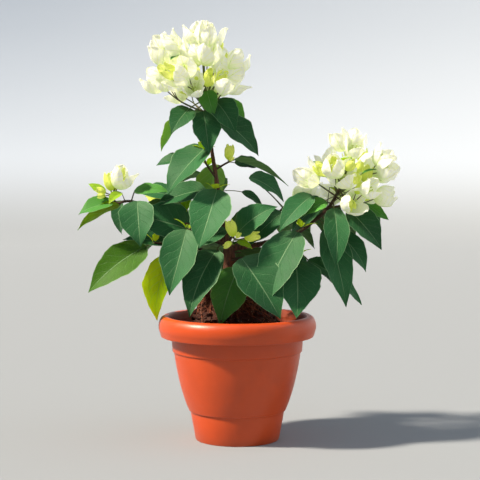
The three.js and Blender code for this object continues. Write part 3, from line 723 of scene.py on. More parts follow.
def extra_leaves(spray, number, placed, limbs):
    """The leaves that a spray's rule adds: spaced along its stem and turned by the golden angle."""
    rule = spray.extra
    random = stream(SEED + number)
    grown = []
    for k in range(rule["count"]):
        swing = ((k + 0.5) * GOLDEN_ANGLE) % 360 / 360 - 0.5
        way = rule["heading"] + rule["spread"] * swing
        at = between((rule["start"], rule["end"]), (k + 0.5) / rule["count"])
        stalk = (draw(random, EXTRA_STALK), way, draw(random, EXTRA_RISE))
        blade = (draw(random, rule["length"]), way, -draw(random, EXTRA_FALL))
        leaf = grow_leaf(spray, Row(at, stalk, blade, EXTRA_TURN * (2 * next(random) - 1)))
        if fits(leaf, placed + grown, limbs):
            grown.append(leaf)
    return grown


def grow_bloom(start, knot, foot, axis, size, spin, tint):
    """A bloom on its axis, with its first bract spun round it by an angle."""
    reference = UP if abs(axis[2]) < 0.9 else np.array([1.0, 0.0, 0.0])
    side = turned(unit(np.cross(axis, reference)), axis, spin)
    return Bloom(start, knot, foot, axis, side, size, tint)


def named_blooms(name, spray):
    """The blooms that a spray names one by one, and then its buds."""
    curve = Curve(spray.stem)
    blooms = []
    for k, (at, twig, size) in enumerate([*spray.blooms, *BUDS.get(name, [])]):
        start = curve.at(at)
        axis = direction(*twig[1:])
        foot = start + axis * twig[0]
        knot = (start + foot) / 2 - UP * twig[0] * TWIG_SAG
        tint = "white" if size > YOUNG_SIZE and name not in STILL_YOUNG else "young"
        blooms.append(grow_bloom(start, knot, foot, axis, size, k * GOLDEN_ANGLE, tint))
    return blooms


def golden(count, turn, shares=(0, 1)):
    """Places over a dome by the golden angle: the share of the way down, and the angle."""
    return [(between(shares, (k + 0.5) / count), k * GOLDEN_ANGLE + turn) for k in range(count)]


def dome_blooms(name, spray, number):
    """The blooms of a dome: spread over an egg by the golden angle, as in the source."""
    dome = spray.dome
    random = stream(SEED + number)
    shrink = stream(SHRINK_SEED + number)
    blooms = []
    for share, degrees in golden(dome["count"], dome["turn"]):
        place = (share, degrees, draw(random, DOME_REACH))
        size = draw(random, dome["size"]) * draw(shrink, SHRINK)
        blooms.append(umbel_bloom(name, spray, place, size, THIRD * next(random), "white"))
    return blooms


def dome_point(dome, share, degrees, reach):
    """A point on a dome's egg: from its top down by a share, round by an angle, and out by a reach."""
    height = 1 - (1 - dome["lowest"]) * share
    flat = math.sqrt(1 - height * height)
    angle = math.radians(degrees)
    out = np.array([flat * math.cos(angle), flat * math.sin(angle), height])
    return np.array(dome["centre"]) + np.array(dome["radii"]) * out * reach


def umbel_bloom(name, spray, place, size, spin, tint):
    """A bloom of a dome, drawn in to the middle of its umbel, on a branch of the umbel's twig."""
    dome = spray.dome
    share, degrees, reach = place
    centre, radii = np.array(dome["centre"]), np.array(dome["radii"])
    out = (dome_point(dome, share, degrees, 1) - centre) / radii
    middle = max((unit(np.array(way)) for way in UMBELS[name]), key=lambda way: np.dot(way, out))
    drop = min(1, (1 - middle[2]) / (1 - dome["lowest"]))
    start = Curve(spray.stem).at(1 - DOME_ROOT * drop)
    knot = start + (centre + radii * middle - start) * UMBEL_FORK
    end = centre + radii * unit(out + (middle - out) * UMBEL_PULL) * reach
    axis = unit(end - knot)
    return grow_bloom(start, knot, end - axis * size, axis, size, spin, tint)


def inner_blooms(name, spray, number, outer):
    """Smaller and younger blooms in the gaps of a dome's outer blooms."""
    random = stream(INNER_SEED + number)
    blooms = []
    for layer in INNER_LAYERS:
        for share, degrees in golden(layer["count"], spray.dome["turn"] + layer["turn"], INNER_DOWN):
            place = (share, degrees, draw(random, layer["reach"]))
            size = draw(random, layer["size"])
            bloom = umbel_bloom(name, spray, place, size, THIRD * next(random), layer["tint"])
            if clear(bloom.middle(), INNER_SHARE * size, outer + blooms):
                blooms.append(bloom)
    return blooms


def small_leaves(spray, number, blooms):
    """Small leaves on the twigs of a dome, in the gaps of its blooms."""
    dome = spray.dome
    random = stream(SMALL_SEED + number)
    curve = Curve(spray.stem)
    leaves = []
    for share, degrees in golden(SMALL_LEAVES, dome["turn"] + SMALL_TURN, SMALL_DOWN):
        foot = dome_point(dome, share, degrees, draw(random, SMALL_REACH))
        start = curve.at(1 - DOME_ROOT * share)
        size = draw(random, SMALL_LENGTH)
        out = foot - start
        way = math.degrees(math.atan2(out[1], out[0])) + SMALL_SWAY * (next(random) - 0.5)
        along = direction(way, draw(random, SMALL_RISE))
        aim = unit(out) + UP
        face = unit(aim - along * np.dot(aim, along))
        tint = "mid" if next(random) < SMALL_MID else "lime"
        ends = (foot, foot + along * size * 0.5, foot + along * size)
        beyond = np.linalg.norm((ends[-1] - dome["centre"]) / dome["radii"])
        if beyond < SMALL_REACH[1] and all(clear(point, SMALL_GAP, blooms) for point in ends):
            leaves.append(Leaf(start, foot, along, face, size, size * SMALL_BROAD, tint))
    return leaves


def tip_leaves(spray, number):
    """The small young leaves at the growing tip of a stem."""
    random = stream(TIP_SEED + number)
    curve = Curve(spray.stem)
    start = curve.at(1)
    run = start - curve.at(0.9)
    heading = math.degrees(math.atan2(run[1], run[0]))
    leaves = []
    for k in range(TIP_LEAVES):
        way = heading + TIP_FAN * (k - 1) + TIP_SWAY * (next(random) - 0.5)
        foot = start + direction(way, TIP_STALK_RISE) * draw(random, TIP_STALK)
        along = direction(way, draw(random, TIP_RISE))
        face = unit(UP - along * along[2])
        size = draw(random, TIP_LENGTH)
        leaves.append(Leaf(start, foot, along, face, size, size * TIP_BROAD, "lime"))
    return leaves


def grow():
    """Grows every spray as the source does, and then what is finer: leaves and blooms by spray."""
    lines = [TRUNK, *(line for line, _, _ in BOUGHS.values())]
    limbs = np.array([Curve(line).at(k / LIMB_STEPS) for line in lines for k in range(LIMB_STEPS + 1)])
    leaves = {name: [grow_leaf(spray, row) for row in spray.rows] for name, spray in SPRAYS.items()}
    blooms = {}
    for number, (name, spray) in enumerate(SPRAYS.items()):
        placed = [leaf for grown in leaves.values() for leaf in grown]
        if spray.extra:
            leaves[name] += extra_leaves(spray, number, placed, limbs)
        blooms[name] = named_blooms(name, spray)
        if spray.dome:
            blooms[name] += dome_blooms(name, spray, number)
    for number, (name, spray) in enumerate(SPRAYS.items()):
        if spray.dome:
            blooms[name] += inner_blooms(name, spray, number, blooms[name])
            leaves[name] += small_leaves(spray, number, blooms[name])
        elif not blooms[name]:
            leaves[name] += tip_leaves(spray, number)
    return leaves, blooms


LEAVES, BLOOMS = grow()


# Materials


def math_operator(operation, reflected=False):
    """An operator that joins a wire and another value by a Math node."""
    def join(wire, other):
        values = (other, wire) if reflected else (wire, other)
        return wire.maths(operation, *values)
    return join


class Wire:
    """A shader socket that takes part in Python expressions."""

    __add__, __radd__ = math_operator("ADD"), math_operator("ADD", True)
    __sub__, __rsub__ = math_operator("SUBTRACT"), math_operator("SUBTRACT", True)
    __mul__, __rmul__ = math_operator("MULTIPLY"), math_operator("MULTIPLY", True)
    __pow__ = math_operator("POWER")
    __gt__ = math_operator("GREATER_THAN")

    def __init__(self, finish, socket):
        self.finish = finish
        self.socket = socket

    def maths(self, operation, *values):
        """A Math node on wires and numbers."""
        return self.finish.node("ShaderNodeMath", {"operation": operation}, dict(enumerate(values)))

    def __abs__(self):
        return self.maths("ABSOLUTE", self)

    def wave(self):
        """The cosine of this many whole turns."""
        return self.maths("COSINE", self * (2 * math.pi))

    def rise(self, low, high):
        """A smooth step from 0 at low to 1 at high."""
        return self.finish.node(
            "ShaderNodeMapRange", {"interpolation_type": "SMOOTHSTEP"},
            {"Value": self, "From Min": low, "From Max": high})


class Finish:
    """A material under construction."""

    def __init__(self, name):
        self.material = bpy.data.materials.new(name)
        self.material.use_nodes = True
        self.tree = self.material.node_tree
        self.tree.nodes.clear()

    def node(self, kind, settings=None, inputs=None, output=0):
        """Adds a node of a kind, with its settings first and then the values or links of its sockets."""
        added = self.tree.nodes.new(kind)
        for key, value in (settings or {}).items():
            setattr(added, key, value)
        for key, value in (inputs or {}).items():
            socket = added.inputs[key]
            if isinstance(value, Wire):
                self.tree.links.new(value.socket, socket)
            elif socket.type == "RGBA":
                socket.default_value = (*tuple(value)[:3], 1)
            else:
                socket.default_value = value
        return Wire(self, added.outputs[output]) if added.outputs else None

    def place(self):
        """The Object coordinates."""
        return self.node("ShaderNodeTexCoord", output="Object")

    def stretched(self, scale):
        """The Object coordinates, stretched."""
        return self.node("ShaderNodeMapping", None, {"Vector": self.place(), "Scale": scale})

    def parts(self, vector):
        """The three numbers of a vector."""
        split = self.node("ShaderNodeSeparateXYZ", None, {"Vector": vector})
        return [Wire(self, split.socket.node.outputs[k]) for k in range(3)]

    def grain(self, scale, detail=2.0, rough=0.5, vector=None):
        """Noise from 0 to 1, with its spots scale to a metre."""
        return self.node(
            "ShaderNodeTexNoise", None,
            {"Vector": vector or self.place(), "Scale": scale, "Detail": detail, "Roughness": rough})

    def cells(self, scale, feature="F1", vector=None):
        """The distance in a pattern of cells."""
        return self.node(
            "ShaderNodeTexVoronoi", {"feature": feature}, {"Vector": vector or self.place(), "Scale": scale})

    def shade(self):
        """The shade that each leaf or bract was dealt, from 0 to 1."""
        return self.node("ShaderNodeAttribute", {"attribute_name": "shade"}, output="Fac")

    def blade(self):
        """Where a point of a blade lies: from its midrib out, from its foot up, and whether underneath."""
        u, v, _ = self.parts(self.node("ShaderNodeTexCoord", output="UV"))
        below = u > 1.5
        return abs((u - below * 2) * 2 - 1), v, below

    def blend(self, share, first, second):
        """A colour between two."""
        return self.node("ShaderNodeMix", {"data_type": "RGBA"}, {0: share, 6: first, 7: second}, output=2)

    def coated(self, tone, *coats):
        """A colour with others laid over it, each by its own share."""
        for share, shade in coats:
            tone = self.blend(share, tone, shade)
        return tone

    def surface(self, base, roughness, height=None, depth=0.001, **fixed):
        """Ends the material: its colour, roughness and relief, and the shader's own values."""
        inputs = {"Base Color": base, "Roughness": roughness, **fixed}
        if height is not None:
            inputs["Normal"] = self.node(
                "ShaderNodeBump", None, {"Strength": 1.0, "Distance": depth, "Height": height})
        shader = self.node("ShaderNodeBsdfPrincipled", None, inputs)
        self.node("ShaderNodeOutputMaterial", None, {"Surface": shader})
        return self.material


def scaled(shade, factor):
    """A colour made darker or lighter."""
    return tuple(min(1.0, channel * factor) for channel in shade)


def pot_finish(shell, earth):
    """Moulded plastic: a fine satin skin, dull where it was handled, soil at its foot, and inside its mouth
    dust with painted shade.
    """
    finish = Finish("pot_plastic")
    x, y, z = finish.parts(finish.place())
    out = (x * x + y * y) ** 0.5
    cloud = finish.grain(16, 3, 0.6)
    skin = finish.grain(1400, 1)
    drawn = finish.grain(300, 2, 0.5, finish.stretched((0.08, 0.08, 2.4)))
    rubbed = finish.grain(60, 4, 0.7).rise(0.5, 0.72)
    # Inside the mouth the plastic is darkened towards the soil's colour: dust, and painted shade
    inside = (DUST_AND_SHADE_RADIUS - out).rise(0, 0.002) * z.rise(*DUST_AND_SHADE_HEIGHTS)
    foot = (0.012 - z).rise(0, 0.012)
    tone = finish.blend(cloud.rise(0.3, 0.7), scaled(shell, 0.93), scaled(shell, 1.05))
    tone = finish.coated(
        tone, (rubbed * 0.14, scaled(shell, 1.35)), (foot * cloud * 0.5, earth),
        (inside * 0.5, scaled(earth, 0.5)))
    rough = 0.34 + cloud * 0.08 + rubbed * 0.1 + inside * 0.3
    return finish.surface(tone, rough, skin * 0.35 + drawn * 0.2 + cloud * 0.4, 0.00022,
                          **{"IOR": 1.49, "Specular IOR Level": 0.48})


def soil_finish(name, earth, damp_and_shade, grit):
    """Potting soil: dry crumbs over darker hollows, with pale grit, and painted darker low in the pot as
    moisture and shade.
    """
    finish = Finish(name)
    lumps = finish.grain(170, 6, 0.65)
    fine = finish.grain(900, 4, 0.7)
    specks = (0.16 - finish.cells(210)).rise(0, 0.05)
    _, _, z = finish.parts(finish.place())
    # Low in the pot the soil is painted darker: moist soil, and painted shade
    high = (z + lumps * 0.006).rise(*DAMP_AND_SHADE_HEIGHTS)
    dry = (lumps * 0.7 + fine * 0.3).rise(0.36, 0.64) * (0.2 + 0.8 * high)
    tone = finish.coated(
        damp_and_shade, (dry, earth), (fine.rise(0.5, 0.8) * 0.5, scaled(earth, 1.6)), (specks * 0.6, grit))
    return finish.surface(tone, 0.92, lumps + fine * 0.5, 0.003)


def bark_finish(name, bark, furrow, crown, fine_scale):
    """Bark: long furrows, pale corky dots, and a redder, fibrous skin low on the trunk."""
    finish = Finish(name)
    streaks = finish.grain(fine_scale, 5, 0.65, finish.stretched((1, 1, 0.22)))
    skin = finish.grain(fine_scale * 3, 3, 0.6)
    patches = finish.grain(45, 3, 0.6)
    dots = (0.2 - finish.cells(fine_scale * 0.8, vector=finish.stretched((1, 1, 0.5)))).rise(0, 0.08)
    _, _, z = finish.parts(finish.place())
    tone = finish.blend(1 - (z + patches * 0.03).rise(*CROWN_HEIGHTS), bark, crown)
    tone = finish.blend(streaks.rise(0.34, 0.6), furrow, tone)
    tone = finish.coated(
        tone, (patches.rise(0.45, 0.7) * 0.45, scaled(bark, 1.7)), (dots * 0.4, scaled(bark, 2.1)))
    return finish.surface(tone, 0.78, streaks + skin * 0.25 + dots * 0.3, 0.0007)


def stalk_finish(stalk, twig):
    """The green skin of the leaf stalks, brown in places."""
    finish = Finish("stalk_skin")
    patches = finish.grain(40, 3, 0.6)
    fine = finish.grain(900, 3, 0.6)
    tone = finish.coated(
        stalk, (patches.rise(0.42, 0.62) * 0.8, twig), (fine.rise(0.55, 0.8) * 0.25, scaled(stalk, 1.7)))
    return finish.surface(tone, 0.55, fine, 0.0002)


def leaf_finish(name, top, under, vein, glow):
    """A leaf: a waxy top with sunk veins and a thin pale edge, and a dull underside; light shines through."""
    finish = Finish(name)
    across, v, below = finish.blade()
    shade = finish.shade()
    wander = finish.grain(70, 2) * 0.7
    ribs = (v * 6.5 - across ** 0.9 * 1.9 + wander).wave().rise(0.9, 1.0) * (1 - across.rise(0.7, 0.95))
    net = (0.055 - finish.cells(330, "DISTANCE_TO_EDGE")).rise(0, 0.05)
    midrib = 1 - across.rise(0.0, 0.045)
    edge = across.rise(0.95, 0.99)
    mottle = finish.grain(55, 4, 0.65)
    fine = finish.grain(1500, 2, 0.6)
    tone = finish.blend(shade, scaled(top, 0.8), scaled(top, 1.22))
    cloudy = mottle.rise(0.4, 0.75) * 0.3
    tone = finish.coated(
        tone, (cloudy, scaled(top, 1.4)), ((1 - v.rise(0.0, 0.3)) * 0.12, vein), (ribs * 0.07, vein),
        (net * 0.06, vein), (midrib * 0.5, vein), (edge * 0.5, scaled(vein, 1.15)))
    dull = finish.blend(shade, scaled(under, 0.85), scaled(under, 1.15))
    dull = finish.coated(dull, (ribs * 0.25 + midrib * 0.4, vein), (cloudy, scaled(under, 0.75)))
    base = finish.blend(below, tone, dull)
    sunk = ribs * -0.4 + net * -0.14 + midrib * -0.5 + fine * 0.05 + mottle * 0.5
    height = sunk * (1 - below * 1.7)
    rough = 0.5 + mottle * 0.12 + below * 0.22
    return finish.surface(base, rough, height, 0.0006, **{
        "Specular IOR Level": 0.18, "Subsurface Weight": glow, "Subsurface Radius": (0.6, 1, 0.15),
        "Subsurface Scale": 0.004})


def bract_finish(name, tip, heart, glow):
    """A papery bract that light shines through: pale, with a green foot, a fine net of veins and a painted
    glow.
    """
    finish = Finish(name)
    across, v, _ = finish.blade()
    shade = finish.shade()
    ribs = (v * 6 - across ** 0.8 * 1.9).wave().rise(0.84, 1.0)
    net = (0.07 - finish.cells(420, "DISTANCE_TO_EDGE")).rise(0, 0.06)
    midrib = 1 - across.rise(0.0, 0.08)
    crease = finish.grain(160, 4, 0.6)
    foot = (1 - v.rise(0.06, 0.74)) * (0.5 + shade * 0.5)
    veins = midrib * 0.4 + ribs * 0.28 + net * 0.14
    tone = finish.coated(
        tip, (foot * 0.9, heart), (veins, heart), (crease.rise(0.45, 0.8) * 0.1, scaled(heart, 1.3)))
    height = crease * 0.8 - ribs * 0.35 - net * 0.2 - midrib * 0.4
    # The emission in the bract's own colour is painted light: a glow that stands in for sun shining through
    return finish.surface(tone, 0.55, height, 0.0008, **{
        "Specular IOR Level": 0.3, "Subsurface Weight": 0.4, "Subsurface Radius": (1, 1, 0.5),
        "Subsurface Scale": 0.006, "Emission Color": tone, "Emission Strength": glow})


def plain_finish(name, tone, other, scale, roughness):
    """A soft skin of two like colours in small patches."""
    finish = Finish(name)
    patches = finish.grain(scale, 3, 0.6)
    mixed = finish.blend(patches.rise(0.35, 0.65), tone, other)
    return finish.surface(mixed, roughness, patches, 0.0003)


def studio_finish(tone):
    """The plain floor of the studio, with a glow that grows as it rises behind the plant."""
    finish = Finish("studio_floor")
    _, y, z = finish.parts(finish.place())
    glow = finish.blend(z.rise(0.0, 0.4) * y.rise(0.5, 2.5), (0, 0, 0), tone)
    return finish.surface(tone, 0.85, **{
        "Specular IOR Level": 0.2, "Emission Color": glow, "Emission Strength": 1.25})


# Meshes


def deselect():
    """Leaves nothing selected."""
    if bpy.context.object and bpy.context.object.mode != "OBJECT":
        bpy.ops.object.mode_set(mode="OBJECT")
    bpy.ops.object.select_all(action="DESELECT")


def choose(piece):
    """Makes one piece the only selected and the active one."""
    deselect()
    piece.select_set(True)
    bpy.context.view_layer.objects.active = piece


def apply_modifier(piece, kind, **settings):
    """Adds a modifier with its settings, and applies it."""
    choose(piece)
    modifier = piece.modifiers.new(kind.title(), kind)
    for key, value in settings.items():
        setattr(modifier, key, value)
    bpy.ops.object.modifier_apply(modifier=modifier.name)


def smooth(piece, degrees):
    """Shades a piece smooth, with its edges over an angle sharp."""
    choose(piece)
    bpy.ops.object.shade_smooth_by_angle(angle=math.radians(degrees))


def roughen(piece, lumps, **settings):
    """Raises lumps on a piece by textures, each given as a kind, a size and a height."""
    for kind, size, height in lumps:
        texture = bpy.data.textures.new("lumps", kind)
        texture.noise_scale = size
        apply_modifier(piece, "DISPLACE", texture=texture, strength=height, **settings)


def dress(piece, name, finish, slot, *nodes):
    """Names a finished piece, gives it its finish, and sets it in the frame in place of its nodes."""
    piece.name = name
    piece.data.name = name
    piece.data.materials.clear()
    piece.data.materials.append(finish)
    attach(piece, "root")
    if nodes:
        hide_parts(*nodes)


def turn_up(rows, sides, part="FACE"):
    """A disc whose face, or edge, is extruded and scaled by hand through rows of radius and height."""
    extrude = bpy.ops.mesh.extrude_region_move if part == "FACE" else bpy.ops.mesh.extrude_edges_move
    deselect()
    radius, height = rows[0]
    bpy.ops.mesh.primitive_circle_add(
        vertices=sides, radius=radius * MM, fill_type="NGON", location=(0, 0, height * MM))
    bpy.ops.object.transform_apply(location=True, rotation=True, scale=True)
    bpy.ops.object.mode_set(mode="EDIT")
    bpy.ops.mesh.select_mode(type=part)
    bpy.ops.mesh.select_all(action="SELECT")
    for (radius, height), (new_radius, new_height) in zip(rows, rows[1:]):
        extrude(TRANSFORM_OT_translate={"value": (0, 0, (new_height - height) * MM)})
        factor = new_radius / radius
        bpy.ops.transform.resize(value=(factor, factor, 1), center_override=(0, 0, new_height * MM))
    if part == "FACE":
        bpy.ops.mesh.select_all(action="SELECT")
        bpy.ops.mesh.normals_make_consistent(inside=False)
    bpy.ops.object.mode_set(mode="OBJECT")
    return bpy.context.object


def mesh_piece(parts):
    """One mesh object from parts: each has points in millimetres, faces, and uv and shade or None."""
    points, faces, uvs, shades = [], [], [], []
    start = 0
    for part_points, part_faces, uv, shade in parts:
        points.append(part_points)
        faces.extend([[corner + start for corner in face] for face in part_faces])
        start += len(part_points)
        if uv is not None:
            uvs.append(uv)
            shades.append(np.full(len(part_points), shade))
    mesh = bpy.data.meshes.new("piece")
    mesh.from_pydata((np.concatenate(points) * MM).tolist(), [], faces)
    if uvs:
        corners = np.zeros(len(mesh.loops), np.int32)
        mesh.loops.foreach_get("vertex_index", corners)
        layer = mesh.uv_layers.new(name="UVMap")
        layer.data.foreach_set("uv", np.concatenate(uvs)[corners].ravel())
        mesh.attributes.new("shade", "FLOAT", "POINT").data.foreach_set("value", np.concatenate(shades))
    mesh.validate()
    piece = bpy.data.objects.new("piece", mesh)
    bpy.context.scene.collection.objects.link(piece)
    smooth(piece, MESH_SHARP)
    return piece


def sheet_faces(rows, columns):
    """The faces of a closed blade: a grid above, a grid below, and the strip round their edge."""
    def corner(row, column):
        return row * (columns + 1) + column

    below = corner(rows + 1, 0)
    faces = []
    for row in range(rows):
        for column in range(columns):
            places = ((row, column), (row, column + 1), (row + 1, column + 1), (row + 1, column))
            face = [corner(*place) for place in places]
            faces += [face, [point + below for point in reversed(face)]]
    rim = [corner(0, k) for k in range(columns)] + [corner(k, columns) for k in range(rows)]
    rim += [corner(rows, columns - k) for k in range(columns)] + [corner(rows - k, 0) for k in range(rows)]
    faces += [(a + below, b + below, b, a) for a, b in zip(rim, rim[1:] + rim[:1])]
    return faces


def outline(share, widest, point):
    """How wide a blade is at a share of its length, over its widest."""
    share = np.asarray(share, float)
    near = np.sqrt(np.clip(1 - ((widest - share) / widest) ** 2, 0, 1)) ** 0.9
    on = np.clip((share - widest) / (1 - widest), 0, 1)
    return np.where(share < widest, near, (1 - on) ** point * (1 + point * on))


LEAF_FACES = [face[::-1] for face in sheet_faces(LEAF_ROWS, LEAF_COLUMNS)]
BRACT_FACES = sheet_faces(BRACT_ROWS, BRACT_COLUMNS)


def grid(first, rows, columns):
    """The places on a blade's grid: v from its foot up, starting at a share, and u from side to side."""
    return np.meshgrid(np.linspace(first, 1, rows + 1), np.linspace(-1, 1, columns + 1), indexing="ij")


def two_sided(above, below, u, v, faces, shade):
    """A closed blade from its two grids of points. The UV of the side below is moved along by 2."""
    uv = np.stack([u * 0.5 + 0.5, v], -1).reshape(-1, 2)
    points = np.concatenate([above.reshape(-1, 3), below.reshape(-1, 3)])
    return points, faces, np.concatenate([uv, uv + (2, 0)]), shade


def leaf_part(leaf, random, thickness):
    """A leaf blade: arched, folded along its midrib and rippled at its edge."""
    v, u = grid(0, LEAF_ROWS, LEAF_COLUMNS)
    v = LEAF_EDGE + (1 - 2 * LEAF_EDGE) * v ** LEAF_SPREAD
    across = np.cross(leaf.face, leaf.along)
    own = {name: draw(random, pair) for name, pair in LEAF_RANGES.items()}
    fold = math.tan(math.radians(own["fold"]))
    ripple, bend, curl = (own[name] * leaf.length for name in ("ripple", "bend", "curl"))
    phase = own["phase"]
    half = outline(v, LEAF_WIDEST, LEAF_POINT) * leaf.width / 2 * (1 + own["lopside"] * u)
    half = half * (1 + 0.035 * np.abs(u) * np.sin(17 * v + phase)
                   + 0.02 * np.abs(u) * np.sin(41 * v + u + phase))
    lift = LEAF_ARCH * leaf.length * 4 * v * (1 - v) + half * np.abs(u) ** LEAF_CUP * fold
    lift += ripple * np.abs(u) ** 3 * np.sin(2 * math.pi * own["waves"] * v + phase + np.sign(u) * 0.9)
    beyond = np.clip((v - LEAF_CURL_START) / (1 - LEAF_CURL_START), 0, 1)
    lift += u * half * own["twist"] * v - curl * beyond ** 2
    groove = LEAF_GROOVE * np.exp(-(u * half / LEAF_GROOVE_WIDTH) ** 2) * (1 - v)
    side = u * half + bend * 4 * v * (1 - v)
    thick = (thickness / MM * between((LEAF_THIN_EDGE, 1), 1 - np.abs(u) ** 4) / 2)[..., None]
    points = (leaf.foot + (v * leaf.length)[..., None] * leaf.along + side[..., None] * across
              + (lift - groove)[..., None] * leaf.face)
    return two_sided(points + thick * leaf.face, points - thick * leaf.face, u, v, LEAF_FACES, next(random))


def tube_part(points, radii, sides):
    """A closed tube along points."""
    points = [np.array(point, float) for point in points]
    runs = [unit(after - before) for before, after in zip(points[:1] + points[:-1], points[1:] + points[-1:])]
    reference = np.array([1.0, 0, 0]) if abs(runs[0][0]) < 0.7 else np.array([0, 1.0, 0])
    side = unit(np.cross(runs[0], reference))
    rings = []
    for point, run, radius in zip(points, runs, radii):
        side = unit(side - run * np.dot(side, run))
        other = np.cross(run, side)
        for k in range(sides):
            angle = 2 * math.pi * k / sides
            rings.append(point + (side * math.cos(angle) + other * math.sin(angle)) * radius)
    faces = []
    for row in range(len(points) - 1):
        for k in range(sides):
            a, b = row * sides + k, row * sides + (k + 1) % sides
            faces.append((a, b, b + sides, a + sides))
    faces.append(tuple(reversed(range(sides))))
    faces.append(tuple(range(len(rings) - sides, len(rings))))
    return np.array(rings), faces, None, None


def bract_part(bloom, number, opening, random, thickness):
    """One of a bloom's three bracts: a third of a puffed lantern, keeled, creased and wavy at its edge."""
    v, u = grid(BRACT_FOOT, BRACT_ROWS, BRACT_COLUMNS)
    on = np.clip((v - BRACT_SHOULDER) / (1.004 - BRACT_SHOULDER), 0, 1)
    taper = (1 - on ** 2) ** between(BRACT_TAPER, opening)
    angle = u * math.radians(BRACT_SPREAD) * taper
    arc = math.radians(between(BRACT_ARC, opening))
    tip = np.clip((v - 0.8) / 0.2, 0, 1) ** 2
    phase = draw(random, TURN)
    wave = np.sin(2 * math.pi * 1.8 * v + phase + np.sign(u)) * np.abs(u) ** 3 * BRACT_WAVE
    flare = draw(random, BRACT_FLARE) + BRACT_OPEN_FLARE * opening
    keel = BRACT_RIDGE * np.exp(-(u * 4) ** 2) * v
    slim = SLIM_BUD if bloom.tint == "young" else 1
    radius = np.sin(v * arc) * BLOOM_WIDTH / 2 * slim * (1 + BRACT_KEEL * np.cos(3 * angle))
    radius += wave * v + flare * tip + keel + BRACT_RIM * np.abs(u) ** 4 * v + BRACT_SKEW * u * v
    spot = np.stack([v * 4, u * 3, np.full_like(u, phase)], -1).reshape(-1, 3)
    creases = [noise.noise(Vector(point)) + 0.5 * noise.noise(Vector(point * 2.3)) for point in spot]
    radius = (radius + np.reshape(creases, u.shape) * BRACT_CREASE * v) * bloom.size
    height = (1 - np.cos(v * arc)) / (1 - math.cos(arc)) + BRACT_POINT * tip
    height = height / (1 + BRACT_POINT) * bloom.size * between(BRACT_LENGTH, opening)
    turn = math.radians(THIRD * number) + angle
    across = np.cross(bloom.axis, bloom.side)
    out = np.cos(turn)[..., None] * bloom.side + np.sin(turn)[..., None] * across
    thick = thickness / MM / 2
    middle = bloom.foot + height[..., None] * bloom.axis
    above = middle + (radius + thick)[..., None] * out
    below = middle + (radius - thick)[..., None] * out
    return two_sided(above, below, u, v, BRACT_FACES, next(random))


def flower_parts(bloom, number):
    """A small tube flower before its bract: a swollen tube that opens into a star."""
    angle = math.radians(THIRD * number)
    across = np.cross(bloom.axis, bloom.side)
    out = math.cos(angle) * bloom.side + math.sin(angle) * across
    lean = unit(bloom.axis + out * FLOWER_LEAN)
    foot = bloom.foot + bloom.axis * bloom.size * FLOWER_FOOT
    long = bloom.size * FLOWER_LENGTH
    radii = np.array(FLOWER_RADII) * bloom.size / FLOWER_BLOOM
    return tube_part([foot + lean * long * share for share in FLOWER_SHARES], radii, FLOWER_SIDES)


def leaned(x, y, height):
    """A point of the soil's round shape, leaned and slimmed as the mound is."""
    rise = height - SOIL_SURFACE
    lean = max(0, rise) / (MOUND_TOP - SOIL_SURFACE)
    slim = MOUND_FRONT if y < 0 and rise > SOIL_EDGE - SOIL_SURFACE else 1
    return x + MOUND_LEAN[0] * lean, y * slim + MOUND_LEAN[1] * lean, height


def on_soil(radius, angle, lift=0.0):
    """A point on the soil, or above it by a lift, by its radius and angle before the lean."""
    height = mound_height(radius)
    x, y, _ = leaned(radius * math.cos(angle), radius * math.sin(angle), height)
    return np.array([x, y, height + lift])


def mound_height(radius):
    """The soil's height at a radius, before the lean."""
    if radius >= MOUND_FOOT_RADIUS:
        on = (radius - MOUND_FOOT_RADIUS) / (SOIL_EDGE_RADIUS - MOUND_FOOT_RADIUS)
        return between((SOIL_SURFACE, SOIL_EDGE), min(1, on))
    if radius <= MOUND_TOP_RADIUS:
        return MOUND_TOP - MOUND_DROP
    up = ((MOUND_FOOT_RADIUS - radius) / (MOUND_FOOT_RADIUS - MOUND_TOP_RADIUS)) ** (1 / MOUND_SPREAD)
    return between((SOIL_SURFACE, MOUND_TOP - MOUND_DROP), math.sin(up * math.pi / 2) ** MOUND_SWELL)


def trunk_radius(share):
    """The trunk's radius at a share of its height: a root flare, the fork, and the leader above it."""
    if share < TRUNK_FORK_SHARE:
        up = share / TRUNK_FORK_SHARE
        return between((TRUNK_FOOT_RADIUS, TRUNK_FORK_RADIUS), up) + TRUNK_FLARE * (1 - up) ** 6
    if share < LEADER_SHARE:
        return between((TRUNK_FORK_RADIUS, LEADER_RADIUS),
                       (share - TRUNK_FORK_SHARE) / (LEADER_SHARE - TRUNK_FORK_SHARE))
    return between((LEADER_RADIUS, LEADER_TIP_RADIUS), (share - LEADER_SHARE) / (1 - LEADER_SHARE))


def crown_root(number, random):
    """The line of a root that leaves the trunk's foot, runs over the root ball and dives into it."""
    heading = 2 * math.pi * (number + 0.5 * next(random)) / CROWN_ROOTS
    reach = draw(random, CROWN_REACH)
    veer = draw(random, CROWN_VEER)
    line = []
    for share in np.linspace(0, 1, CROWN_POINTS):
        lift = CROWN_RISE * (1 - share) ** 3 + CROWN_LIFT * (1 - share) - CROWN_DIVE * share ** 3
        line.append(on_soil(CROWN_START + reach * share, heading + veer * share, lift))
    return line


def swelling(share, at, width):
    """How far a swelling has risen, from 0 to 1, at a share of a line."""
    return math.exp(-((share - at) / width) ** 2)


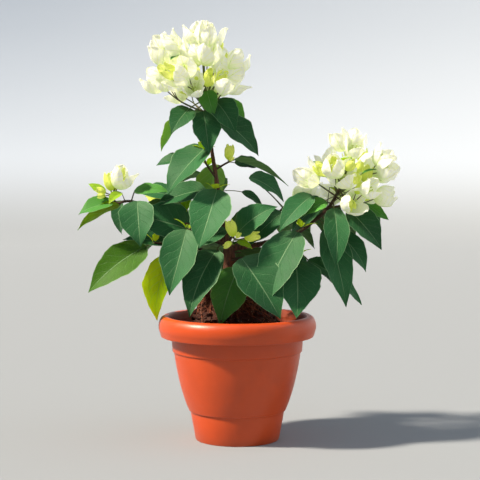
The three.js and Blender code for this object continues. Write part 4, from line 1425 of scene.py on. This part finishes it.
def limb_tube(line, radius_at, steps, knots=()):
    """A limb drawn as a curve with a round section, swollen at its knots, and made a mesh."""
    deselect()
    bpy.ops.curve.primitive_nurbs_path_add(enter_editmode=False, location=(0, 0, 0))
    limb = bpy.context.object
    limb.data.splines.clear()
    spline = limb.data.splines.new("POLY")
    spline.points.add(steps)
    curve = Curve(line)
    for k, point in enumerate(spline.points):
        share = k / steps
        swell = sum(swelling(share, knot, KNOT_WIDTH) for knot in knots)
        point.co = (*(curve.at(share) * MM), 1)
        point.radius = radius_at(share) * (1 + KNOT_SWELL * swell)
    limb.data.dimensions = "3D"
    limb.data.bevel_depth = MM
    limb.data.bevel_resolution = 6
    limb.data.use_fill_caps = True
    bpy.ops.object.convert(target="MESH")
    return bpy.context.object


def largest_part(piece):
    """Keeps only the largest of a piece's loose parts, so that no closed bubble stays inside."""
    choose(piece)
    bpy.ops.mesh.separate(type="LOOSE")
    *small, largest = sorted(bpy.context.selected_objects, key=lambda part: len(part.data.vertices))
    for part in small:
        bpy.data.objects.remove(part)
    return largest


# The pieces


class BOUGAINVILLEA_OT_pot(Operator):
    """Turn the flower pot with its rolled rim, and cut its drain holes"""

    bl_idname = "bougainvillea.pot"
    bl_label = "Flower pot"

    def wall(self, settings):
        """The rows of the wall: from the foot up, over the rolled rim, and down the inside."""
        rim, top, foot = (size / MM for size in (settings.rim_radius, settings.rim_top, settings.foot_radius))
        edge = [(foot + out, height) for out, height in FOOT_EDGE]
        first, middle, last = np.array(BELLY)
        belly = [(1 - t) ** 2 * first + 2 * t * (1 - t) * middle + t * t * last
                 for t in np.linspace(0, 1, BELLY_STEPS)]
        half = (top - ROLL_FOOT) / 2
        wide = rim - ROLL_RADIUS
        roll = [(ROLL_RADIUS + wide * math.cos(angle), ROLL_FOOT + half + half * math.sin(angle))
                for angle in np.linspace(ROLL_START, math.pi / 2, ROLL_STEPS)]
        mouth = [(radius, top - drop) for radius, drop in MOUTH]
        return [*edge, *GROOVE, *belly, *COLLAR, *LIP, *roll, *mouth, *INSIDE]

    def execute(self, context):
        """Models the pot."""
        settings = context.scene.bougainvillea_pot
        piece = turn_up(self.wall(settings), settings.sides)
        for k in range(DRAIN_HOLES):
            angle = math.radians(360 * (k + 0.5) / DRAIN_HOLES)
            deselect()
            bpy.ops.mesh.primitive_cylinder_add(
                vertices=DRAIN_SIDES, radius=DRAIN_RADIUS * MM, depth=DRAIN_DEPTH * MM,
                location=(DRAIN_CIRCLE * MM * math.cos(angle), DRAIN_CIRCLE * MM * math.sin(angle), 0))
            cutter = bpy.context.object
            apply_modifier(piece, "BOOLEAN", operation="DIFFERENCE", object=cutter, solver="EXACT")
            bpy.data.objects.remove(cutter)
        smooth(piece, POT_SHARP)
        dress(piece, "pot_shell", pot_finish(settings.shell, settings.earth), "pot", "pot")
        return {"FINISHED"}


class BOUGAINVILLEA_OT_soil(Operator):
    """Turn the soil with its mound, and roughen its top"""

    bl_idname = "bougainvillea.soil"
    bl_label = "Soil"

    def execute(self, context):
        """Models the soil."""
        settings = context.scene.bougainvillea_pot
        radii = np.linspace(SOIL_EDGE_RADIUS, MOUND_MIDDLE_RADIUS, SOIL_ROWS)
        slope = [(radius, mound_height(radius)) for radius in radii]
        piece = turn_up([*SOIL_WALL, *slope], SOIL_SIDES)
        for vertex in piece.data.vertices:
            vertex.co = Vector(leaned(*(vertex.co / MM))) * MM
        top = piece.vertex_groups.new(name="top")
        high = [vertex.index for vertex in piece.data.vertices if vertex.co.z > SOIL_ROUGH_ABOVE * MM]
        top.add(high, 1, "REPLACE")
        roughen(piece, SOIL_LUMPS, mid_level=0.55, texture_coords="LOCAL", vertex_group="top")
        smooth(piece, SOIL_SHARP)
        earth = soil_finish("potting_soil", settings.earth, settings.damp_and_shade, settings.grit)
        dress(piece, "soil_mound", earth, "soil", "soil")
        return {"FINISHED"}


class BOUGAINVILLEA_OT_crumbs(Operator):
    """Scatter crumbs, pale grit and fine rootlets over the soil"""

    bl_idname = "bougainvillea.crumbs"
    bl_label = "Crumbs and rootlets"

    def lump(self, random, size):
        """A lump of soil: a small ball with its points moved."""
        wide, deep, _ = (1 + LUMP_SQUEEZE * (next(random) - 0.5) for _ in range(3))
        rings = [(math.cos(angle), math.sin(angle), z) for z, shift in ((0.5, 0), (-0.5, 0.5))
                 for angle in (2 * math.pi * (k + shift) / LUMP_SIDES for k in range(LUMP_SIDES))]
        corners = [(0, 0, 1), *rings, (0, 0, -1)]
        points = np.array([np.array(corner) * size * draw(random, LUMP_RANGE) for corner in corners])
        pairs = [(1 + k, 1 + (k + 1) % LUMP_SIDES) for k in range(LUMP_SIDES)]
        faces = [(0, a, b) for a, b in pairs]
        for a, b in pairs:
            faces += [(a, a + LUMP_SIDES, b), (b, a + LUMP_SIDES, b + LUMP_SIDES)]
        faces += [(len(corners) - 1, b + LUMP_SIDES, a + LUMP_SIDES) for a, b in pairs]
        return points * (wide, deep, LUMP_FLAT), faces

    def scatter(self, seed, count, sizes):
        """Lumps all over the soil."""
        random = stream(seed)
        parts = []
        for _ in range(count):
            radius = SOIL_EDGE_RADIUS * math.sqrt(next(random)) * SCATTER_REACH
            angle = draw(random, TURN)
            size = between(sizes, next(random) ** 3)
            points, faces = self.lump(random, size)
            parts.append((points + on_soil(radius, angle, size * LUMP_LIFT), faces, None, None))
        return parts

    def rootlets(self, seed, count, inner, reach, veer, thick):
        """Fine roots that run down over the mound."""
        random = stream(seed)
        shares = np.linspace(0, 1, ROOTLET_POINTS)
        parts = []
        for _ in range(count):
            heading = draw(random, TURN)
            start, run, bend = (draw(random, pair) for pair in (inner, reach, veer))
            phase = draw(random, TURN)
            girth = between(thick, next(random) ** 3)
            line = []
            for share in shares:
                radius = min(start + run * share, ROOTLET_END)
                angle = heading + bend * share * ROOTLET_BEND + ROOTLET_SWAY * math.sin(7 * share + phase)
                lift = girth + ROOTLET_LIFT + ROOTLET_WAVE * math.sin(9 * share + phase)
                line.append(on_soil(radius, angle, lift))
            parts.append(tube_part(line, girth * (1 - ROOTLET_TAPER * shares), ROOTLET_SIDES))
        return parts

    def strands(self, seed, count, inner, span, fall, arch, thick):
        """Old roots and stalks that stand off the root ball in low arches."""
        random = stream(seed)
        shares = np.linspace(0, 1, STRAND_POINTS)
        parts = []
        for k in range(count):
            heading = draw(random, TURN)
            ranges = (inner, span, fall, arch, thick)
            start, sweep, drop, rise, girth = (draw(random, pair) for pair in ranges)
            sweep *= 1 if k % 2 else -1
            line = []
            for share in shares:
                lift = rise * 4 * share * (1 - share) - STRAND_ROOT + STRAND_WAVE * math.sin(11 * share + k)
                line.append(on_soil(start + drop * share, heading + sweep * share, lift))
            parts.append(tube_part(line, girth * (1 - STRAND_TAPER * shares), STRAND_SIDES))
        return parts

    def execute(self, context):
        """Makes the joined meshes."""
        soil = context.scene.bougainvillea_pot
        wood = context.scene.bougainvillea_wood
        crumb = soil_finish("soil_crumbs", scaled(soil.earth, 1.15), soil.damp_and_shade, soil.grit)
        grit = plain_finish("grit", soil.grit, scaled(soil.earth, 1.6), 300, 0.8)
        root = plain_finish("rootlet", wood.bark, scaled(soil.earth, 1.5), 200, 0.8)
        dress(mesh_piece(self.scatter(**CRUMBS)), "soil_crumbs", crumb, "soil")
        dress(mesh_piece(self.scatter(**GRIT)), "soil_grit", grit, "soil")
        dress(mesh_piece(self.rootlets(**ROOTLETS) + self.strands(**STRANDS)), "rootlets", root, "soil")
        return {"FINISHED"}


class BOUGAINVILLEA_OT_limbs(Operator):
    """Draw the trunk and the boughs, weld them into one skin, and raise the bark's relief"""

    bl_idname = "bougainvillea.limbs"
    bl_label = "Trunk and boughs"

    def execute(self, context):
        """Models the limbs."""
        settings = context.scene.bougainvillea_wood
        limbs = [limb_tube(TRUNK, trunk_radius, TRUNK_STEPS, TRUNK_KNOTS)]
        for line, *radii in BOUGHS.values():
            limbs.append(limb_tube(line, partial(between, radii), BOUGH_STEPS, BOUGH_KNOTS))
        random = stream(CROWN_SEED)
        for number in range(CROWN_ROOTS):
            limbs.append(limb_tube(crown_root(number, random), partial(between, CROWN_RADII), CROWN_STEPS))
        deselect()
        for limb in limbs:
            limb.select_set(True)
        bpy.context.view_layer.objects.active = limbs[0]
        bpy.ops.object.join()
        apply_modifier(bpy.context.object, "REMESH", mode="VOXEL", voxel_size=settings.grain)
        piece = largest_part(bpy.context.object)
        apply_modifier(piece, "SMOOTH", factor=0.5, iterations=4)
        stretch = bpy.data.objects.new("stretch", None)
        stretch.scale = (1, 1, BARK_STRETCH)
        context.scene.collection.objects.link(stretch)
        context.view_layer.update()
        furrows = [(kind, size, settings.relief * share) for kind, size, share in BARK_FURROWS]
        roughen(piece, furrows, mid_level=0.5, texture_coords="OBJECT", texture_coords_object=stretch)
        bpy.data.objects.remove(stretch)
        smooth(piece, BARK_SHARP)
        finish = bark_finish("bark", settings.bark, settings.furrow, settings.crown, 420)
        dress(piece, "bark_limbs", finish, "bark", "trunk", *BOUGHS)
        return {"FINISHED"}


class BOUGAINVILLEA_OT_twigs(Operator):
    """Grow the stems of the sprays, the leaf stalks and the twigs of the blooms"""

    bl_idname = "bougainvillea.twigs"
    bl_label = "Twigs and stalks"

    def stem(self, spray):
        """A spray's stem, swollen where its leaves stand, with its root set into its bough."""
        curve = Curve(spray.stem)
        shares = np.linspace(0, 1, STEM_POINTS)
        line = [curve.at(share) for share in shares]
        line[0] = line[0] - (line[1] - line[0]) * STEM_ROOT
        radii = []
        for share in shares:
            swell = max((swelling(share, row.at, JOINT_WIDTH) for row in spray.rows), default=0)
            radii.append(between(spray.radii, share) * (1 + JOINT_SWELL * swell))
        return tube_part(line, radii, STEM_SIDES)

    def stalk(self, leaf):
        """A leaf's stalk, bowed upwards, that ends a little way up the blade."""
        thin = 1.0 if leaf.length > SMALL_LEAF else SMALL_STALK
        run = leaf.foot + leaf.along * leaf.length * STALK_LAP - leaf.start
        bow = UP * np.linalg.norm(run) * STALK_RISE
        line = [leaf.start + run * share + bow * 4 * share * (1 - share)
                for share in np.linspace(0, 1, len(STALK_RADII))]
        return tube_part(line, [thin * radius for radius in STALK_RADII], STALK_SIDES)

    def twig(self, bloom):
        """A bloom's twig, through its knot and a little way into the bloom."""
        thin = 0.6 + 0.4 * bloom.size / 45
        curve = Curve([bloom.start, bloom.knot, bloom.foot + bloom.axis * bloom.size * TWIG_LAP])
        line = [curve.at(share) for share in np.linspace(0, 1, TWIG_POINTS)]
        return tube_part(line, thin * np.linspace(*TWIG_RADII, TWIG_POINTS), TWIG_SIDES)

    def execute(self, context):
        """Makes the joined meshes."""
        settings = context.scene.bougainvillea_wood
        stems = [self.stem(spray) for spray in SPRAYS.values()]
        stalks = [self.stalk(leaf) for leaves in LEAVES.values() for leaf in leaves]
        twigs = [self.twig(bloom) for blooms in BLOOMS.values() for bloom in blooms]
        bark = bark_finish("twig_bark", settings.twig, settings.furrow, settings.twig, 900)
        dress(mesh_piece(stems), "spray_stems", bark, "bark", *SPRAYS)
        dress(mesh_piece(stalks), "leaf_stalks", stalk_finish(settings.stalk, settings.twig), "foliage")
        green = plain_finish("bloom_twig", settings.twig, settings.stalk, 60, 0.6)
        dress(mesh_piece(twigs), "bloom_twigs", green, "foliage")
        return {"FINISHED"}


class BOUGAINVILLEA_OT_leaves(Operator):
    """Grow the leaf blades, dealt out by tint"""

    bl_idname = "bougainvillea.leaves"
    bl_label = "Leaves"

    def execute(self, context):
        """Makes the joined meshes."""
        settings = context.scene.bougainvillea_leaves
        random = stream(LEAF_SEED)
        blades = {tint: [] for tint in LEAF_GLOW}
        for leaves in LEAVES.values():
            for leaf in leaves:
                blades[leaf.tint].append(leaf_part(leaf, random, settings.thickness))
        for tint, parts in blades.items():
            top, under = getattr(settings, tint), getattr(settings, f"{tint}_under")
            finish = leaf_finish(f"leaf_{tint}", top, under, settings.vein, LEAF_GLOW[tint])
            dress(mesh_piece(parts), f"leaves_{tint}", finish, "foliage")
        return {"FINISHED"}


class BOUGAINVILLEA_OT_blooms(Operator):
    """Grow the bracts of the blooms and the small tube flowers inside them"""

    bl_idname = "bougainvillea.blooms"
    bl_label = "Blooms"

    def execute(self, context):
        """Makes the joined meshes."""
        settings = context.scene.bougainvillea_blooms
        random = stream(BRACT_SEED)
        bracts = {tint: [] for tint in BRACT_PAINTED_GLOW}
        flowers = []
        for blooms in BLOOMS.values():
            for bloom in blooms:
                opening = BRACT_OPENING[bloom.tint] * next(random) ** 1.4
                for number in range(3):
                    bracts[bloom.tint].append(bract_part(bloom, number, opening, random, settings.thickness))
                    flowers.append(flower_parts(bloom, number))
        for tint, parts in bracts.items():
            finish = bract_finish(f"bract_{tint}", getattr(settings, tint), settings.heart, BRACT_PAINTED_GLOW[tint])
            dress(mesh_piece(parts), f"bracts_{tint}", finish, "foliage")
        tubes = plain_finish("tube_flower", settings.tube, settings.heart, 150, 0.5)
        dress(mesh_piece(flowers), "tube_flowers", tubes, "foliage")
        return {"FINISHED"}


class BOUGAINVILLEA_OT_studio(Operator):
    """Set up the studio: a pale floor that rises all round, soft lights and the camera"""

    bl_idname = "bougainvillea.studio"
    bl_label = "Studio"

    def lamp(self, name, place, width, power, tint):
        """A far, soft light that shines from a direction and looks as wide as an angle in degrees."""
        light = bpy.data.lights.new(name, "SUN")
        light.angle = math.radians(width)
        light.energy = power
        light.color = tint
        lamp = bpy.data.objects.new(name, light)
        lamp.location = place
        lamp.rotation_euler = (-Vector(place)).to_track_quat("-Z", "Y").to_euler()
        bpy.context.scene.collection.objects.link(lamp)

    def execute(self, context):
        """Makes the floor, the lights and the camera."""
        settings = context.scene.bougainvillea_studio
        cove = [(FLOOR_RADIUS + FLOOR_BEND * math.sin(angle), FLOOR_BEND - FLOOR_BEND * math.cos(angle))
                for angle in np.linspace(0, math.pi / 2, FLOOR_STEPS)]
        floor = turn_up([*cove, FLOOR_TOP], FLOOR_SIDES, "EDGE")
        bpy.ops.object.shade_smooth()
        floor.name = "studio_floor"
        floor.data.materials.append(studio_finish(settings.floor))
        floor.visible_shadow = False

        for name, (place, width, tint) in LAMPS.items():
            self.lamp(name, place, width, getattr(settings, f"{name}_power"), getattr(settings, tint))
        world = bpy.data.worlds.new("studio")
        world.use_nodes = True
        background = world.node_tree.nodes["Background"]
        background.inputs["Color"].default_value = (*settings.sky, 1)
        background.inputs["Strength"].default_value = settings.fill_power
        context.scene.world = world
        context.scene.view_settings.view_transform = "Standard"

        camera = bpy.data.cameras.new("camera")
        camera.lens = settings.lens
        camera.sensor_width = 36
        camera.clip_end = 50
        viewer = bpy.data.objects.new("camera", camera)
        viewer.location = CAMERA_PLACE
        viewer.rotation_euler = (math.radians(90 - CAMERA_FALL), 0, 0)
        context.scene.collection.objects.link(viewer)
        context.scene.camera = viewer
        return {"FINISHED"}


class BOUGAINVILLEA_PT_panel(Panel):
    """The sidebar panel with the settings and a button for each piece"""

    bl_idname = "BOUGAINVILLEA_PT_panel"
    bl_label = "Bougainvillea"
    bl_space_type = "VIEW_3D"
    bl_region_type = "UI"
    bl_category = "Bougainvillea"

    def draw(self, context):
        """Lists the operators under their settings."""
        for key, group in SETTINGS.items():
            box = self.layout.box()
            for name in group.__annotations__:
                box.prop(getattr(context.scene, key), name)
        for operator in OPERATORS:
            self.layout.operator(operator.bl_idname)


SETTINGS = {
    "bougainvillea_pot": PotSettings,
    "bougainvillea_wood": WoodSettings,
    "bougainvillea_leaves": LeafSettings,
    "bougainvillea_blooms": BloomSettings,
    "bougainvillea_studio": StudioSettings,
}
OPERATORS = (
    BOUGAINVILLEA_OT_pot, BOUGAINVILLEA_OT_soil, BOUGAINVILLEA_OT_crumbs, BOUGAINVILLEA_OT_limbs,
    BOUGAINVILLEA_OT_twigs, BOUGAINVILLEA_OT_leaves, BOUGAINVILLEA_OT_blooms, BOUGAINVILLEA_OT_studio,
)


def register():
    """Registers the settings, the operators and the panel."""
    for cls in (*SETTINGS.values(), *OPERATORS, BOUGAINVILLEA_PT_panel):
        bpy.utils.register_class(cls)
    for key, group in SETTINGS.items():
        setattr(bpy.types.Scene, key, PointerProperty(type=group))


def unregister():
    """Takes the settings, the operators and the panel away again."""
    for key in SETTINGS:
        delattr(bpy.types.Scene, key)
    for cls in (BOUGAINVILLEA_PT_panel, *reversed(OPERATORS), *reversed(SETTINGS.values())):
        bpy.utils.unregister_class(cls)


def main():
    """Registers the add-on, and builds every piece."""
    register()
    bpy.ops.bougainvillea.pot()
    bpy.ops.bougainvillea.soil()
    bpy.ops.bougainvillea.crumbs()
    bpy.ops.bougainvillea.limbs()
    bpy.ops.bougainvillea.twigs()
    bpy.ops.bougainvillea.leaves()
    bpy.ops.bougainvillea.blooms()
    bpy.ops.bougainvillea.studio()


if __name__ == "__main__":
    main()
